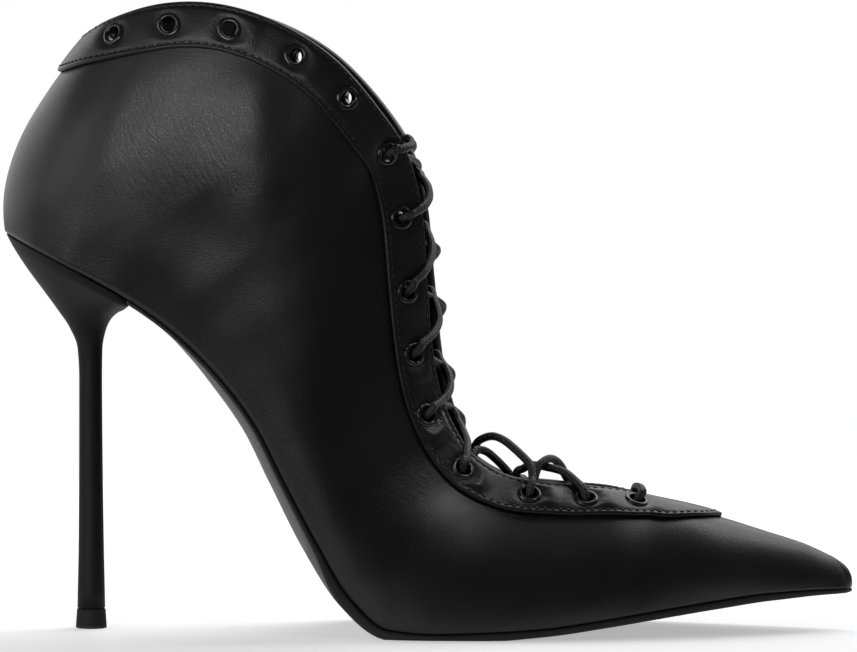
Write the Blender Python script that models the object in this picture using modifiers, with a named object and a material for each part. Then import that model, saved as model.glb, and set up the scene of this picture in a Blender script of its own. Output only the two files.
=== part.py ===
"""Pointed lace-up ankle boot on a stiletto heel, right foot, toe along +X, up along +Z.

The last is described by ribs: each row of the table below is one rib of the upper, from
the sole line (foot) up to the throat or collar line (top), given in millimetres.
"""
import bpy
import bmesh
import numpy as np
from mathutils import Vector
from mathutils.bvhtree import BVHTree

MM = 0.001

WALL = 1.4            # leather and lining of the upper
BAND_GAP = 0.3        # between the upper and the eyestay band
BAND_THICK = 1.2      # turned and stitched eyestay band
SEAM = 0.3            # between the pieces that are stuck together
HOLE_R = 2.9
EYELET_FLANGE_R = 3.7
EYELET_BARREL_R = 2.6
EYELET_BORE_R = 2.2
EYELET_RISE = 0.6
LACE_R = 1.25
CENTRE = np.array((0.23, -0.18, 0.0))   # middle of the tables' frame over the floor
INSOLE_INSET = 2.4
INSOLE_THICK = 2.0
SOLE_INSET = 0.3
BREAST_X = -89.7      # rear end of the outsole, against the heel breast
LIFT_TALL = 6.0

STATIONS = 34         # ribs made along each side
ROWS_LOW = 5          # rows from the sole line to the band
ROWS_BAND = 3         # rows across the band

COLUMNS = ("foot_x", "foot_z", "foot_out", "foot_in", "axis_y",
           "top_x", "top_z", "gap", "lead", "lift", "band",
           "rise_low", "swell_low", "rise_high", "swell_high", "sole_mid", "sole_rim")
RIBS = (
    (128.3, 12.7, 0.0, 0.0, 4.5, 124.6, 20.3, 0.0, 0.0, 0.0, -24.0, 0.50, 2.6, 0.95, 1.6, 0.9, 0.9),
    (126.7, 12.7, 3.2, 3.2, 4.4, 121.3, 22.4, 0.0, 0.0, 0.0, -22.0, 0.55, 2.8, 1.00, 2.2, 1.2, 1.2),
    (117.1, 12.8, 9.0, 9.0, 3.8, 113.1, 26.1, 0.0, 0.0, 0.0, -18.0, 0.55, 5.0, 1.00, 5.0, 1.6, 1.6),
    (102.7, 12.4, 15.2, 15.6, 2.8, 101.2, 29.9, 0.0, 0.0, 0.0, -9.0, 0.55, 8.4, 1.00, 8.4, 2.2, 2.2),
    (86.6, 10.8, 21.8, 22.5, 1.8, 88.9, 33.7, 0.0, 0.0, 0.0, 0.5, 0.55, 12.0, 1.00, 12.0, 2.4, 2.4),
    (74.5, 9.2, 26.0, 26.8, 1.2, 78.7, 36.5, 0.0, 0.0, 0.0, 9.0, 0.55, 14.3, 1.00, 14.3, 2.4, 2.4),
    (62.6, 7.5, 29.6, 30.5, 0.7, 66.7, 39.2, 0.0, 0.0, 0.0, 12.9, 0.55, 16.2, 1.00, 11.5, 2.4, 2.4),
    (50.7, 5.7, 32.6, 33.5, 0.3, 54.5, 42.0, 4.5, 0.2, 0.0, 12.9, 0.52, 16.0, 0.92, 7.2, 2.3, 2.3),
    (34.3, 3.6, 35.5, 36.0, 0.0, 39.5, 43.8, 6.5, 0.3, -0.3, 12.9, 0.49, 15.5, 0.82, 3.6, 2.3, 2.3),
    (18.1, 2.6, 36.8, 36.5, 0.0, 24.4, 46.1, 8.0, 0.4, -0.6, 12.9, 0.47, 15.0, 0.80, 2.6, 2.6, 2.6),
    (2.5, 2.1, 36.6, 35.0, 0.0, 13.7, 52.2, 9.0, 0.2, -0.6, 12.9, 0.45, 14.5, 0.78, 2.8, 2.6, 2.6),
    (-11.3, 3.1, 34.7, 32.0, 0.0, 7.4, 61.0, 9.0, 1.8, 0.0, 12.6, 0.42, 14.5, 0.78, 2.4, 3.2, 3.0),
    (-23.2, 12.5, 31.7, 28.5, 0.0, 3.0, 72.1, 9.0, 2.6, 0.0, 12.5, 0.38, 15.0, 0.78, 1.4, 5.0, 3.6),
    (-32.8, 28.0, 28.9, 25.5, 0.0, 0.5, 85.9, 9.0, 2.7, 0.0, 12.6, 0.35, 16.0, 0.78, 0.6, 5.8, 1.8),
    (-42.6, 45.9, 26.0, 22.8, 0.0, -1.1, 106.0, 9.5, 2.3, 0.0, 12.7, 0.33, 17.0, 0.78, 0.6, 5.2, 1.4),
    (-51.5, 62.9, 23.9, 21.0, 0.0, -2.6, 126.4, 10.5, 1.8, 0.0, 12.9, 0.33, 17.5, 0.78, 1.4, 4.8, 1.2),
    (-60.5, 75.0, 22.4, 20.2, 0.0, -7.0, 143.4, 13.0, 1.8, 0.0, 12.9, 0.33, 17.0, 0.76, 2.4, 4.3, 1.2),
    (-69.4, 84.5, 21.6, 20.2, 0.0, -14.9, 156.1, 20.0, 2.0, 0.0, 12.9, 0.33, 13.5, 0.72, 4.0, 3.2, 1.2),
    (-78.3, 92.4, 21.9, 21.0, 0.0, -28.0, 171.1, 25.0, 1.3, 0.0, 12.9, 0.33, 10.0, 0.70, 7.5, 2.2, 1.1),
    (-87.2, 98.8, 22.9, 22.5, 0.0, -43.9, 181.5, 27.5, 2.0, -0.8, 12.9, 0.33, 7.0, 0.68, 7.0, 2.1, 1.1),
    (-96.1, 104.2, 24.1, 24.1, 0.0, -61.2, 187.2, 28.5, 3.4, -1.4, 12.9, 0.33, 6.0, 0.67, 5.5, 2.1, 1.1),
    (-106.5, 109.6, 24.1, 24.1, 0.0, -78.1, 187.5, 27.0, 3.0, -1.2, 12.9, 0.33, 6.0, 0.67, 5.5, 2.1, 1.1),
    (-117.4, 115.1, 19.9, 19.9, 0.0, -93.5, 182.9, 18.8, 1.6, -0.6, 12.9, 0.33, 9.0, 0.67, 6.5, 2.1, 1.1),
    (-127.5, 119.8, 0.0, 0.0, 0.0, -102.6, 177.8, 0.0, 0.0, 0.0, 12.9, 0.33, 12.0, 0.67, 7.5, 2.1, 1.1),
)
ODD = ("foot_out", "foot_in", "gap")
ROUNDED = ("top_x", "top_z")   # columns that round over at their peaks
CLOSED_TO = 6.0       # the vamp is closed in front of this station
LAST = len(RIBS) - 1

# Eyelets on both sides, from the back of the collar to the vamp: rib station and distance from the edge.
EYELETS = (
    (21.75, 5.8), (20.78, 6.3), (19.74, 6.5), (18.58, 6.0), (17.55, 5.4), (16.37, 5.9), (15.25, 7.1),
    (14.18, 7.1), (13.28, 7.0), (12.07, 7.6), (10.3, 7.2), (8.57, 6.1), (7.5, 6.6), (6.47, 6.4),
)

HEEL_COLUMNS = ("back_x", "back_z", "front_x", "front_z", "half_wide", "widest", "front_square", "crown")
HEEL_RINGS = (
    (-127.2, 119.2, -90.0, 100.0, 24.0, .70, 8.0, 0.6),
    (-125.2, 115.4, -90.2, 97.7, 22.4, .72, 6.0, 0.5),
    (-120.9, 108.7, -91.3, 96.4, 18.0, .68, 4.0, 0.2),
    (-116.2, 102.3, -93.4, 95.3, 13.4, .62, 3.0, 0.0),
    (-111.6, 96.0, -95.5, 93.4, 9.2, .57, 2.4, 0.0),
    (-107.9, 90.4, -97.2, 89.8, 6.2, .53, 2.0, 0.0),
    (-105.7, 84.5, -98.2, 84.0, 4.2, .50, 2.0, 0.0),
    (-105.2, 75.0, -98.3, 75.0, 3.5, .50, 2.0, 0.0),
    (-105.2, 60.0, -98.2, 60.0, 3.5, .50, 2.0, 0.0),
    (-105.3, 30.0, -97.8, 30.0, 3.8, .50, 2.0, 0.0),
    (-105.7, 6.2, -97.3, 6.2, 4.2, .50, 2.0, 0.0),
)

# Crossings of the lace: lower eyelet of each pair, how far the strands stand off the throat,
# and where they cross between the lower and the upper eyelet.
CROSSINGS = ((13, 5.0, .80), (12, 8.0, .78), (11, 2.6, .55), (10, 2.0, .50), (9, 1.6, .50), (8, 0.9, .50),
             (7, 0.6, .50))


def table_of(rows, names):
    """Columns of a table by name."""
    data = np.array(rows, dtype=float)
    return {name: data[:, i] for i, name in enumerate(names)}


def mirrored(column, odd):
    """A column carried past both ends of the last, so the toe and the back come out round."""
    sign = -1.0 if odd else 1.0
    return np.concatenate((sign * column[2:0:-1], column, sign * column[-2:-4:-1]))


def smooth(values, at, rounded=False):
    """Cubic through evenly spaced values: monotone, or rounding over at its peaks."""
    values = np.asarray(values, dtype=float)
    step = np.diff(values)
    slope = np.zeros_like(values)
    left, right = step[:-1], step[1:]
    same = left * right > 0
    slope[1:-1][same] = 2 * left[same] * right[same] / (left[same] + right[same])
    if rounded:
        slope[1:-1] = (left + right) / 2
    slope[0], slope[-1] = step[0], step[-1]
    at = np.asarray(at, dtype=float)
    cell = np.clip(np.floor(at).astype(int), 0, len(values) - 2)
    t = at - cell
    a, b = values[cell], values[cell + 1]
    return (a * (1 + 2 * t) * (1 - t) ** 2 + b * t * t * (3 - 2 * t)
            + slope[cell] * t * (1 - t) ** 2 + slope[cell + 1] * t * t * (t - 1))


RIB = {name: mirrored(column, name in ODD) for name, column in table_of(RIBS, COLUMNS).items()}


def rib_value(name, u):
    return smooth(RIB[name], np.asarray(u, dtype=float) + 2, name in ROUNDED)


def foot_line(side, u):
    """The sole line of one side: side is -1 for the outer side and +1 for the inner side."""
    wide = rib_value("foot_out" if side < 0 else "foot_in", u)
    return np.stack((rib_value("foot_x", u), rib_value("axis_y", u) + side * wide, rib_value("foot_z", u)), -1)


def plan_normal(side, u):
    """Outward direction of the sole line seen from above."""
    ahead = foot_line(side, np.asarray(u) + 0.02)
    behind = foot_line(side, np.asarray(u) - 0.02)
    run = ahead - behind
    out = np.stack((side * run[..., 1], -side * run[..., 0], 0 * run[..., 2]), -1)
    return out / np.linalg.norm(out, axis=-1, keepdims=True)


def top_line(side, u):
    """The throat, collar or toe ridge line of one side."""
    inner = 1.0 if side > 0 else 0.0
    return np.stack((rib_value("top_x", u) + inner * rib_value("lead", u),
                     rib_value("axis_y", u) + side * rib_value("gap", u),
                     rib_value("top_z", u) + inner * rib_value("lift", u)), -1)


def skin(side, u, v):
    """Outer face of the upper: v runs from the sole line at 0 to the top line at 1."""
    u, v = np.broadcast_arrays(np.asarray(u, dtype=float), np.asarray(v, dtype=float))
    low, top, out = foot_line(side, u), top_line(side, u), plan_normal(side, u)
    rise = top - low
    p1 = low + rib_value("rise_low", u)[..., None] * rise + rib_value("swell_low", u)[..., None] * out
    p2 = low + rib_value("rise_high", u)[..., None] * rise + rib_value("swell_high", u)[..., None] * out
    v = v[..., None]
    w = 1 - v
    return low * w ** 3 + p1 * 3 * w * w * v + p2 * 3 * w * v * v + top * v ** 3


def skin_normal(side, u, v):
    """Outward normal of the upper."""
    du, dv = 0.02, 0.004
    v = np.clip(v, dv, 1 - dv)
    along = skin(side, u + du, v) - skin(side, u - du, v)
    up = skin(side, u, v + dv) - skin(side, u, v - dv)
    out = side * np.cross(along, up)
    return out / np.linalg.norm(out, axis=-1, keepdims=True)


def height_at(side, u, inset):
    """Height v on a rib at a given distance from the top line."""
    edge = top_line(side, np.linspace(3.0, LAST, 240))
    v = np.linspace(0.2, 1.0, 240)
    rib = skin(side, np.full_like(v, u), v)
    away = np.min(np.linalg.norm(rib[:, None] - edge[None], axis=2), axis=1)
    return float(np.interp(-inset, -away, v))


def collection(name):
    made = bpy.data.collections.new(name)
    bpy.context.scene.collection.children.link(made)
    return made


def material(name, colour, rough, metal=0.0):
    made = bpy.data.materials.new(name)
    made.use_nodes = True
    shader = made.node_tree.nodes["Principled BSDF"]
    shader.inputs["Base Color"].default_value = (*colour, 1.0)
    shader.inputs["Roughness"].default_value = rough
    shader.inputs["Metallic"].default_value = metal
    return made


def mesh_object(name, points, faces, finish, into, flat=False):
    """A mesh from points in millimetres, with doubled corners welded and, if asked, flat triangles."""
    mesh = bpy.data.meshes.new(name)
    mesh.from_pydata([tuple((np.asarray(p) - CENTRE) * MM) for p in points], [], faces)
    bm = bmesh.new()
    bm.from_mesh(mesh)
    bmesh.ops.remove_doubles(bm, verts=bm.verts, dist=0.00002)
    bmesh.ops.dissolve_degenerate(bm, edges=bm.edges, dist=0.00001)
    if flat:
        bmesh.ops.triangulate(bm, faces=bm.faces)
    bmesh.ops.recalc_face_normals(bm, faces=bm.faces)
    bm.to_mesh(mesh)
    bm.free()
    made = bpy.data.objects.new(name, mesh)
    into.objects.link(made)
    if finish:
        mesh.materials.append(finish)
    return made


def grid_faces(across, along, start=0):
    """Quads of a grid of points stored row by row."""
    faces = []
    for i in range(across - 1):
        for j in range(along - 1):
            a = start + i * along + j
            faces.append((a, a + 1, a + along + 1, a + along))
    return faces


def band_start():
    """Station where the tip of the band begins on the toe ridge."""
    u = np.linspace(3.0, 6.0, 301)
    return float(np.interp(1.5, rib_value("band", u), u))


def rib_stations():
    """Stations of the ribs, close together at the toe and the back, with one at the band tip."""
    t = np.linspace(0, 1, STATIONS)
    spread = LAST * (t - 0.35 * np.sin(2 * np.pi * t) / (2 * np.pi))
    for fixed in (band_start(), CLOSED_TO):
        spread[np.argmin(np.abs(spread - fixed))] = fixed
    return spread


def side_rows(side, u):
    """Heights of one rib, with a row along the lower edge of the band."""
    band = float(rib_value("band", u))
    edge = height_at(side, u, max(band, 1.5)) if u >= band_start() - 1e-6 else 1 - 0.02 * ROWS_BAND
    low = np.linspace(0, edge, ROWS_LOW + 1)
    return np.concatenate((low, np.linspace(edge, 1, ROWS_BAND + 1)[1:]))


def skin_grid(side, stations):
    """Points of the outer face of one side, one rib after another."""
    rows = [side_rows(side, u) for u in stations]
    return np.stack([skin(side, np.full(len(v), u), v) for u, v in zip(stations, rows)])


def build_upper(finish, into):
    """Both sides of the upper as one skin, thickened inwards."""
    stations = rib_stations()
    outer, inner = skin_grid(-1, stations), skin_grid(1, stations)
    across, along = outer.shape[:2]
    points = np.concatenate((outer.reshape(-1, 3), inner.reshape(-1, 3)))
    faces = grid_faces(across, along)
    faces += [f[::-1] for f in grid_faces(across, along, across * along)]
    upper = mesh_object("upper", points, faces, finish, into, flat=True)
    wall = upper.modifiers.new("wall", "SOLIDIFY")
    wall.thickness = WALL * MM
    wall.offset = -1.0
    wall.use_even_offset = False
    return upper, stations


def vertex_normals(points, faces):
    """Outward normals of welded corners, by face area."""
    mesh = bpy.data.meshes.new("normals")
    mesh.from_pydata([tuple(p) for p in points], [], faces)
    bm = bmesh.new()
    bm.from_mesh(mesh)
    bmesh.ops.remove_doubles(bm, verts=bm.verts, dist=0.02)
    bmesh.ops.recalc_face_normals(bm, faces=bm.faces)
    bm.normal_update()
    at = np.array([v.co for v in bm.verts])
    normals = np.array([v.normal for v in bm.verts])
    bm.free()
    bpy.data.meshes.remove(mesh)
    nearest = [int(np.argmin(np.sum((at - p) ** 2, axis=1))) for p in points]
    found = normals[nearest]
    middle = at.mean(axis=0)
    if np.sum((at - middle) * normals) < 0:
        found = -found
    return found


def build_band(stations, finish, into):
    """Eyestay and collar band: the top rows of the upper's own skin, lifted off it."""
    outer, inner = skin_grid(-1, stations), skin_grid(1, stations)
    across, along = outer.shape[:2]
    points = np.concatenate((outer.reshape(-1, 3), inner.reshape(-1, 3)))
    faces = grid_faces(across, along)
    faces += [f[::-1] for f in grid_faces(across, along, across * along)]
    normals = vertex_normals(points, faces)
    first = int(np.argmin(np.abs(stations - band_start())))
    shells = []
    for offset in (BAND_GAP, BAND_GAP + BAND_THICK):
        lifted = (points + normals * offset).reshape(2, across, along, 3)
        shells.append(lifted[:, first:, ROWS_LOW:])
    runs, rows = across - first, ROWS_BAND + 1
    points = np.concatenate([s.reshape(-1, 3) for s in shells])
    size = runs * rows
    faces = []
    for half in (0, 1):
        faces += grid_faces(runs, rows, half * size)
        faces += grid_faces(runs, rows, (2 + half) * size)
        base = half * size
        for i in range(runs - 1):
            a, b = base + i * rows, base + (i + 1) * rows
            faces.append((a, b, b + 2 * size, a + 2 * size))
            if stations[first + i + 1] > CLOSED_TO + 1e-6:
                a, b = a + rows - 1, b + rows - 1
                faces.append((a, b, b + 2 * size, a + 2 * size))
        for j in range(rows - 1):
            a = base + j
            faces.append((a, a + 1, a + 1 + 2 * size, a + 2 * size))
    return mesh_object("eyestay_band", points, faces, finish, into, flat=True)


def plate(name, left, right, top_drop, bottom, finish, into, columns):
    """A plate between two edge lines: bottom gives the lower face for a place across it."""
    across = np.linspace(-1, 1, columns)
    mid, half = (left + right) / 2, (right - left) / 2
    top = np.stack([mid + half * s for s in across], axis=1) - np.array((0, 0, top_drop))
    low = np.stack([bottom(s, mid + half * s) for s in across], axis=1)
    runs = len(left)
    points = np.concatenate((top.reshape(-1, 3), low.reshape(-1, 3)))
    size = runs * columns
    faces = grid_faces(runs, columns) + grid_faces(runs, columns, size)
    for j in (0, columns - 1):
        for i in range(runs - 1):
            a, b = i * columns + j, (i + 1) * columns + j
            faces.append((a, b, b + size, a + size))
    for i in (0, runs - 1):
        for j in range(columns - 1):
            a = i * columns + j
            faces.append((a, a + 1, a + 1 + size, a + size))
    return mesh_object(name, points, faces, finish, into)


def profile_normal(u):
    """Downward normal of the sole line seen from the side."""
    run = foot_line(-1, u + 0.05) - foot_line(-1, np.maximum(u - 0.05, 0))
    down = np.stack((run[:, 2], 0 * run[:, 1], -run[:, 0]), -1)
    down /= np.linalg.norm(down, axis=1, keepdims=True)
    return np.where(down[:, 2:] > 0, -down, down)


def sole_stations():
    """Stations along the outsole, from the toe to the heel breast."""
    end = float(np.interp(-BREAST_X, -rib_value("foot_x", np.linspace(15, 22, 400)), np.linspace(15, 22, 400)))
    return np.concatenate((np.linspace(0, 1, 4)[:-1], np.linspace(1, end, 32)))


def build_outsole(finish, into):
    """Thin pointed outsole with a rounded waist, flat where the ball stands on the floor."""
    u = sole_stations()
    sides = []
    for side in (-1, 1):
        line = foot_line(side, u)
        out = plan_normal(side, u)
        line[1:] -= SOLE_INSET * out[1:]
        line[:, 0] = rib_value("foot_x", u)
        sides.append(line)
    down = profile_normal(u)
    mid, rim = rib_value("sole_mid", u)[:, None], rib_value("sole_rim", u)[:, None]

    def bottom(s, at):
        thick = rim + (mid - rim) * (1 - s * s)
        low = at - np.array((0, 0, SEAM)) + down * thick
        low[:, 2] = np.maximum(low[:, 2], 0.0)
        low[-1, 0] = BREAST_X
        return low

    return plate("outsole", sides[0], sides[1], SEAM, bottom, finish, into, 7)


def build_insole(finish, into):
    """Insole board inside the upper, from the toe to the back of the heel seat."""
    u = sole_stations()
    u = np.concatenate((u[u > 1.5], np.linspace(u[-1], LAST - 0.42, 8)[1:]))
    sides = []
    for side in (-1, 1):
        line = foot_line(side, u)
        out = plan_normal(side, u)
        line[:, 1] -= side * INSOLE_INSET / np.maximum(np.abs(out[:, 1]), 0.35)
        sides.append(line)
    down = profile_normal(u)
    sides = [line - down * INSOLE_THICK for line in sides]

    def bottom(s, at):
        return at + down * INSOLE_THICK

    return plate("insole", sides[0], sides[1], 0.0, bottom, finish, into, 5)


def build_heel(finish, into):
    """Stiletto heel lofted through tilted rings, from the seat down to the top-lift."""
    rings = table_of(HEEL_RINGS, HEEL_COLUMNS)
    turns = 20
    points = []
    for i in range(len(HEEL_RINGS)):
        back = np.array((rings["back_x"][i], 0, rings["back_z"][i]))
        front = np.array((rings["front_x"][i], 0, rings["front_z"][i]))
        for k in range(turns):
            a = 2 * np.pi * k / turns
            power = 2 / (rings["front_square"][i] if np.cos(a) < 0 else 2.0)
            reach = abs(np.cos(a)) ** power
            wide = np.sign(np.sin(a)) * abs(np.sin(a)) ** power * rings["half_wide"][i]
            widest = rings["widest"][i]
            along = widest - reach * widest if np.cos(a) >= 0 else widest + reach * (1 - widest)
            lift = rings["crown"][i] * np.sin(np.pi * along)
            points.append(back + (front - back) * along + np.array((0, wide, lift)))
    faces = []
    for i in range(len(HEEL_RINGS) - 1):
        for k in range(turns):
            a, b = i * turns + k, i * turns + (k + 1) % turns
            faces.append((a, b, b + turns, a + turns))
    faces.append(tuple(range(turns)))
    faces.append(tuple(range((len(HEEL_RINGS) - 1) * turns, len(HEEL_RINGS) * turns)))
    return mesh_object("heel", points, faces, finish, into)


def build_top_lift(finish, into):
    """Small wear piece under the heel."""
    bpy.ops.mesh.primitive_cone_add(vertices=24, radius1=4.7 * MM, radius2=4.3 * MM,
                                    depth=(LIFT_TALL - 0.1) * MM,
                                    location=((-101.5 - CENTRE[0]) * MM, -CENTRE[1] * MM, (LIFT_TALL - 0.1) / 2 * MM))
    lift = bpy.context.object
    lift.name = lift.data.name = "top_lift"
    for old in list(lift.users_collection):
        old.objects.unlink(lift)
    into.objects.link(lift)
    lift.data.materials.append(finish)
    return lift


def eyelet_place(side, number):
    """Centre and axis of an eyelet on the outer face of the upper."""
    u, inset = EYELETS[number - 1]
    v = height_at(side, u, inset)
    return skin(side, u, v), skin_normal(side, np.float64(u), np.float64(v))


def stand_on(made, centre, axis):
    made.rotation_mode = "QUATERNION"
    made.rotation_quaternion = Vector(axis).to_track_quat("Z", "Y")
    made.location = Vector(centre - CENTRE) * MM


def seat_height(band, centre, axis):
    """Height of the band under the flange of an eyelet, above the face of the upper."""
    frame = Vector(axis).to_track_quat("Z", "Y")
    heights = []
    for k in range(24):
        a = 2 * np.pi * k / 24
        for r in (EYELET_BARREL_R, (EYELET_BARREL_R + EYELET_FLANGE_R) / 2, EYELET_FLANGE_R):
            start = Vector(centre - CENTRE) + frame @ Vector((r * np.cos(a), r * np.sin(a), 8.0))
            hit = band.ray_cast(start * MM, frame @ Vector((0, 0, -1.0)))
            if hit[0] is not None:
                heights.append(8.0 - hit[3] / MM)
    return max(heights) + 0.1


def build_eyelet(name, centre, axis, seat, finish, into):
    """Eyelet turned from its cut section: flange outside, barrel through band and upper."""
    low = -WALL
    top = seat + EYELET_RISE
    section = ((EYELET_BORE_R, low), (EYELET_BARREL_R, low), (EYELET_BARREL_R, seat),
               (EYELET_FLANGE_R, seat), (EYELET_BORE_R + 0.4, top))
    mesh = bpy.data.meshes.new(name)
    edges = [(i, (i + 1) % len(section)) for i in range(len(section))]
    mesh.from_pydata([(r * MM, 0, z * MM) for r, z in section], edges, [])
    mesh.materials.append(finish)
    made = bpy.data.objects.new(name, mesh)
    into.objects.link(made)
    turn = made.modifiers.new("turned", "SCREW")
    turn.axis = "Z"
    turn.steps = turn.render_steps = 8
    turn.use_merge_vertices = True
    turn.merge_threshold = 0.00001
    turn.use_normal_calculate = True
    turn.use_normal_flip = True
    stand_on(made, centre, axis)
    return made


def hole_cutters(places, into):
    """One object holding a short rod for every eyelet hole."""
    points, faces = [], []
    sides = 10
    for centre, axis in places:
        frame = Vector(axis).to_track_quat("Z", "Y")
        start = len(points)
        for z in (-4.0, 5.0):
            for k in range(sides):
                a = 2 * np.pi * (k + 0.37) / sides
                p = frame @ Vector((HOLE_R * np.cos(a), HOLE_R * np.sin(a), z))
                points.append(np.array(centre) + np.array(p))
        for k in range(sides):
            n = (k + 1) % sides
            faces.append((start + k, start + n, start + sides + n, start + sides + k))
        faces.append(tuple(range(start, start + sides)))
        faces.append(tuple(range(start + sides, start + 2 * sides)))
    rods = mesh_object("eyelet_holes", points, faces, None, into)
    rods.hide_render = True
    rods.display_type = "WIRE"
    return rods


def punch(piece, rods):
    """Cut the eyelet holes."""
    cut = piece.modifiers.new("eyelet holes", "BOOLEAN")
    cut.operation = "DIFFERENCE"
    cut.solver = "EXACT"
    cut.object = rods


def through(points, count):
    """A smooth line through a few points, evenly spaced along it."""
    p = np.array(points, dtype=float)
    p = np.concatenate((2 * p[:1] - p[1:2], p, 2 * p[-1:] - p[-2:-1]))
    fine = []
    for i in range(1, len(p) - 2):
        for t in np.linspace(0, 1, 24, endpoint=False):
            a, b, c, d = p[i - 1], p[i], p[i + 1], p[i + 2]
            fine.append(0.5 * (2 * b + (c - a) * t + (2 * a - 5 * b + 4 * c - d) * t * t
                               + (3 * b - a - 3 * c + d) * t ** 3))
    fine.append(p[-2])
    fine = np.array(fine)
    run = np.concatenate(((0,), np.cumsum(np.linalg.norm(np.diff(fine, axis=0), axis=1))))
    at = np.linspace(0, run[-1], count)
    return np.stack([np.interp(at, run, fine[:, k]) for k in range(3)], axis=1)


def tube(name, line, radius, finish, into, sides=6):
    """A round cord along a line, with flat ends."""
    tangent = np.gradient(line, axis=0)
    tangent /= np.linalg.norm(tangent, axis=1, keepdims=True)
    side = np.cross(tangent[0], (0.3, 0.2, 1.0))
    points = []
    for p, t in zip(line, tangent):
        side = side - t * np.dot(side, t)
        side /= np.linalg.norm(side)
        other = np.cross(t, side)
        for k in range(sides):
            a = 2 * np.pi * k / sides
            points.append(p + radius * (np.cos(a) * side + np.sin(a) * other))
    faces = []
    for i in range(len(line) - 1):
        for k in range(sides):
            n = (k + 1) % sides
            faces.append((i * sides + k, i * sides + n, (i + 1) * sides + n, (i + 1) * sides + k))
    faces.append(tuple(range(sides)))
    faces.append(tuple(range((len(line) - 1) * sides, len(line) * sides)))
    return mesh_object(name, points, faces, finish, into)


OVER_EYELET = BAND_GAP + BAND_THICK + EYELET_RISE + LACE_R + 1.0
UNDER_WALL = WALL + LACE_R + 0.5


def throat_middle(u):
    """Middle of the throat and the direction that looks out of it."""
    near, far = top_line(-1, u), top_line(1, u)
    look = skin_normal(-1, np.float64(u), np.float64(0.99)) + skin_normal(1, np.float64(u), np.float64(0.99))
    return (near + far) / 2, look / np.linalg.norm(look)


def strand(side, number, upper_number, stand_off, cross):
    """One strand: out of an eyelet, over its edge, across the throat and under the other edge."""
    low, high = EYELETS[number - 1][0], EYELETS[upper_number - 1][0]
    start, axis = eyelet_place(side, number)
    end, end_axis = eyelet_place(-side, upper_number)
    over = low + 0.22 * (high - low)
    under = low + max(0.74, cross + 0.16) * (high - low)
    middle, look = throat_middle(low + cross * (high - low))
    edge = top_line(side, over) + 3.1 * skin_normal(side, np.float64(over), np.float64(0.99)) + 0.8 * look
    lip = top_line(-side, under)
    inward = (throat_middle(under)[0] - lip)
    lip = lip + inward * min(1.0, 2.6 / np.linalg.norm(inward)) - 1.6 * throat_middle(under)[1]
    return through((start + axis * OVER_EYELET, edge, middle + look * stand_off, lip,
                    end - end_axis * (UNDER_WALL + 0.4)), 11)


def build_crossing(name, number, stand_off, cross, finish, into, cutters):
    """Two strands crossing over the throat, joined where they touch."""
    one = tube(name, strand(-1, number, number - 1, stand_off, cross), LACE_R, finish, into)
    two = tube(name + "_other", strand(1, number, number - 1, stand_off, cross), LACE_R, None, cutters)
    two.hide_render = True
    two.display_type = "WIRE"
    join = one.modifiers.new("crossing", "BOOLEAN")
    join.operation = "UNION"
    join.solver = "EXACT"
    join.object = two
    return one


def build_bar(finish, into):
    """The lowest run of the lace, straight across the vamp between the last two eyelets."""
    near, near_axis = eyelet_place(-1, 14)
    far, far_axis = eyelet_place(1, 14)
    middle, look = throat_middle(EYELETS[13][0])
    line = through((near + near_axis * OVER_EYELET, middle + look * (OVER_EYELET + 0.6),
                    far + far_axis * OVER_EYELET), 12)
    return tube("lace_bar", line, LACE_R, finish, into)


def build_boot():
    for old in list(bpy.data.objects):
        bpy.data.objects.remove(old, do_unlink=True)
    boot = collection("lace_up_stiletto_boot")
    cutters = collection("cutters")
    leather = material("black_nappa", (0.012, 0.012, 0.012), 0.42)
    band_leather = material("band_nappa", (0.014, 0.014, 0.014), 0.36)
    board = material("insole_lining", (0.02, 0.018, 0.017), 0.6)
    sole = material("sole_leather", (0.015, 0.015, 0.015), 0.5)
    heel_cover = material("heel_cover", (0.013, 0.013, 0.014), 0.5)
    rubber = material("lift_rubber", (0.01, 0.01, 0.01), 0.7)
    enamel = material("eyelet_enamel", (0.02, 0.02, 0.02), 0.25, 0.6)
    cord = material("lace_cord", (0.02, 0.02, 0.02), 0.7)

    places = {}
    for number in range(1, len(EYELETS) + 1):
        for side, word in ((-1, "out"), (1, "in")):
            places["eyelet_%s_%02d" % (word, number)] = eyelet_place(side, number)
    rods = hole_cutters(list(places.values()), cutters)

    upper, stations = build_upper(leather, boot)
    punch(upper, rods)
    band = build_band(stations, band_leather, boot)
    bed = BVHTree.FromPolygons([v.co for v in band.data.vertices], [tuple(p.vertices) for p in band.data.polygons])
    punch(band, rods)
    build_insole(board, boot)
    build_outsole(sole, boot)
    build_heel(heel_cover, boot)
    build_top_lift(rubber, boot)
    for name, (centre, axis) in places.items():
        build_eyelet(name, centre, axis, seat_height(bed, centre, axis), enamel, boot)
    build_bar(cord, boot)
    for number, stand_off, cross in CROSSINGS:
        build_crossing("lace_cross_%02d" % number, number, stand_off, cross, cord, boot, cutters)


build_boot()
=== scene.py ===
"""Pointed lace-up ankle boot on a stiletto heel: nappa upper, stitched band, eyelets, lace, sole and heel."""
from math import atan2, pi, radians

import bmesh
import bpy
import numpy as np
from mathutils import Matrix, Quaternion, Vector
from mathutils.bvhtree import BVHTree


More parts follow.
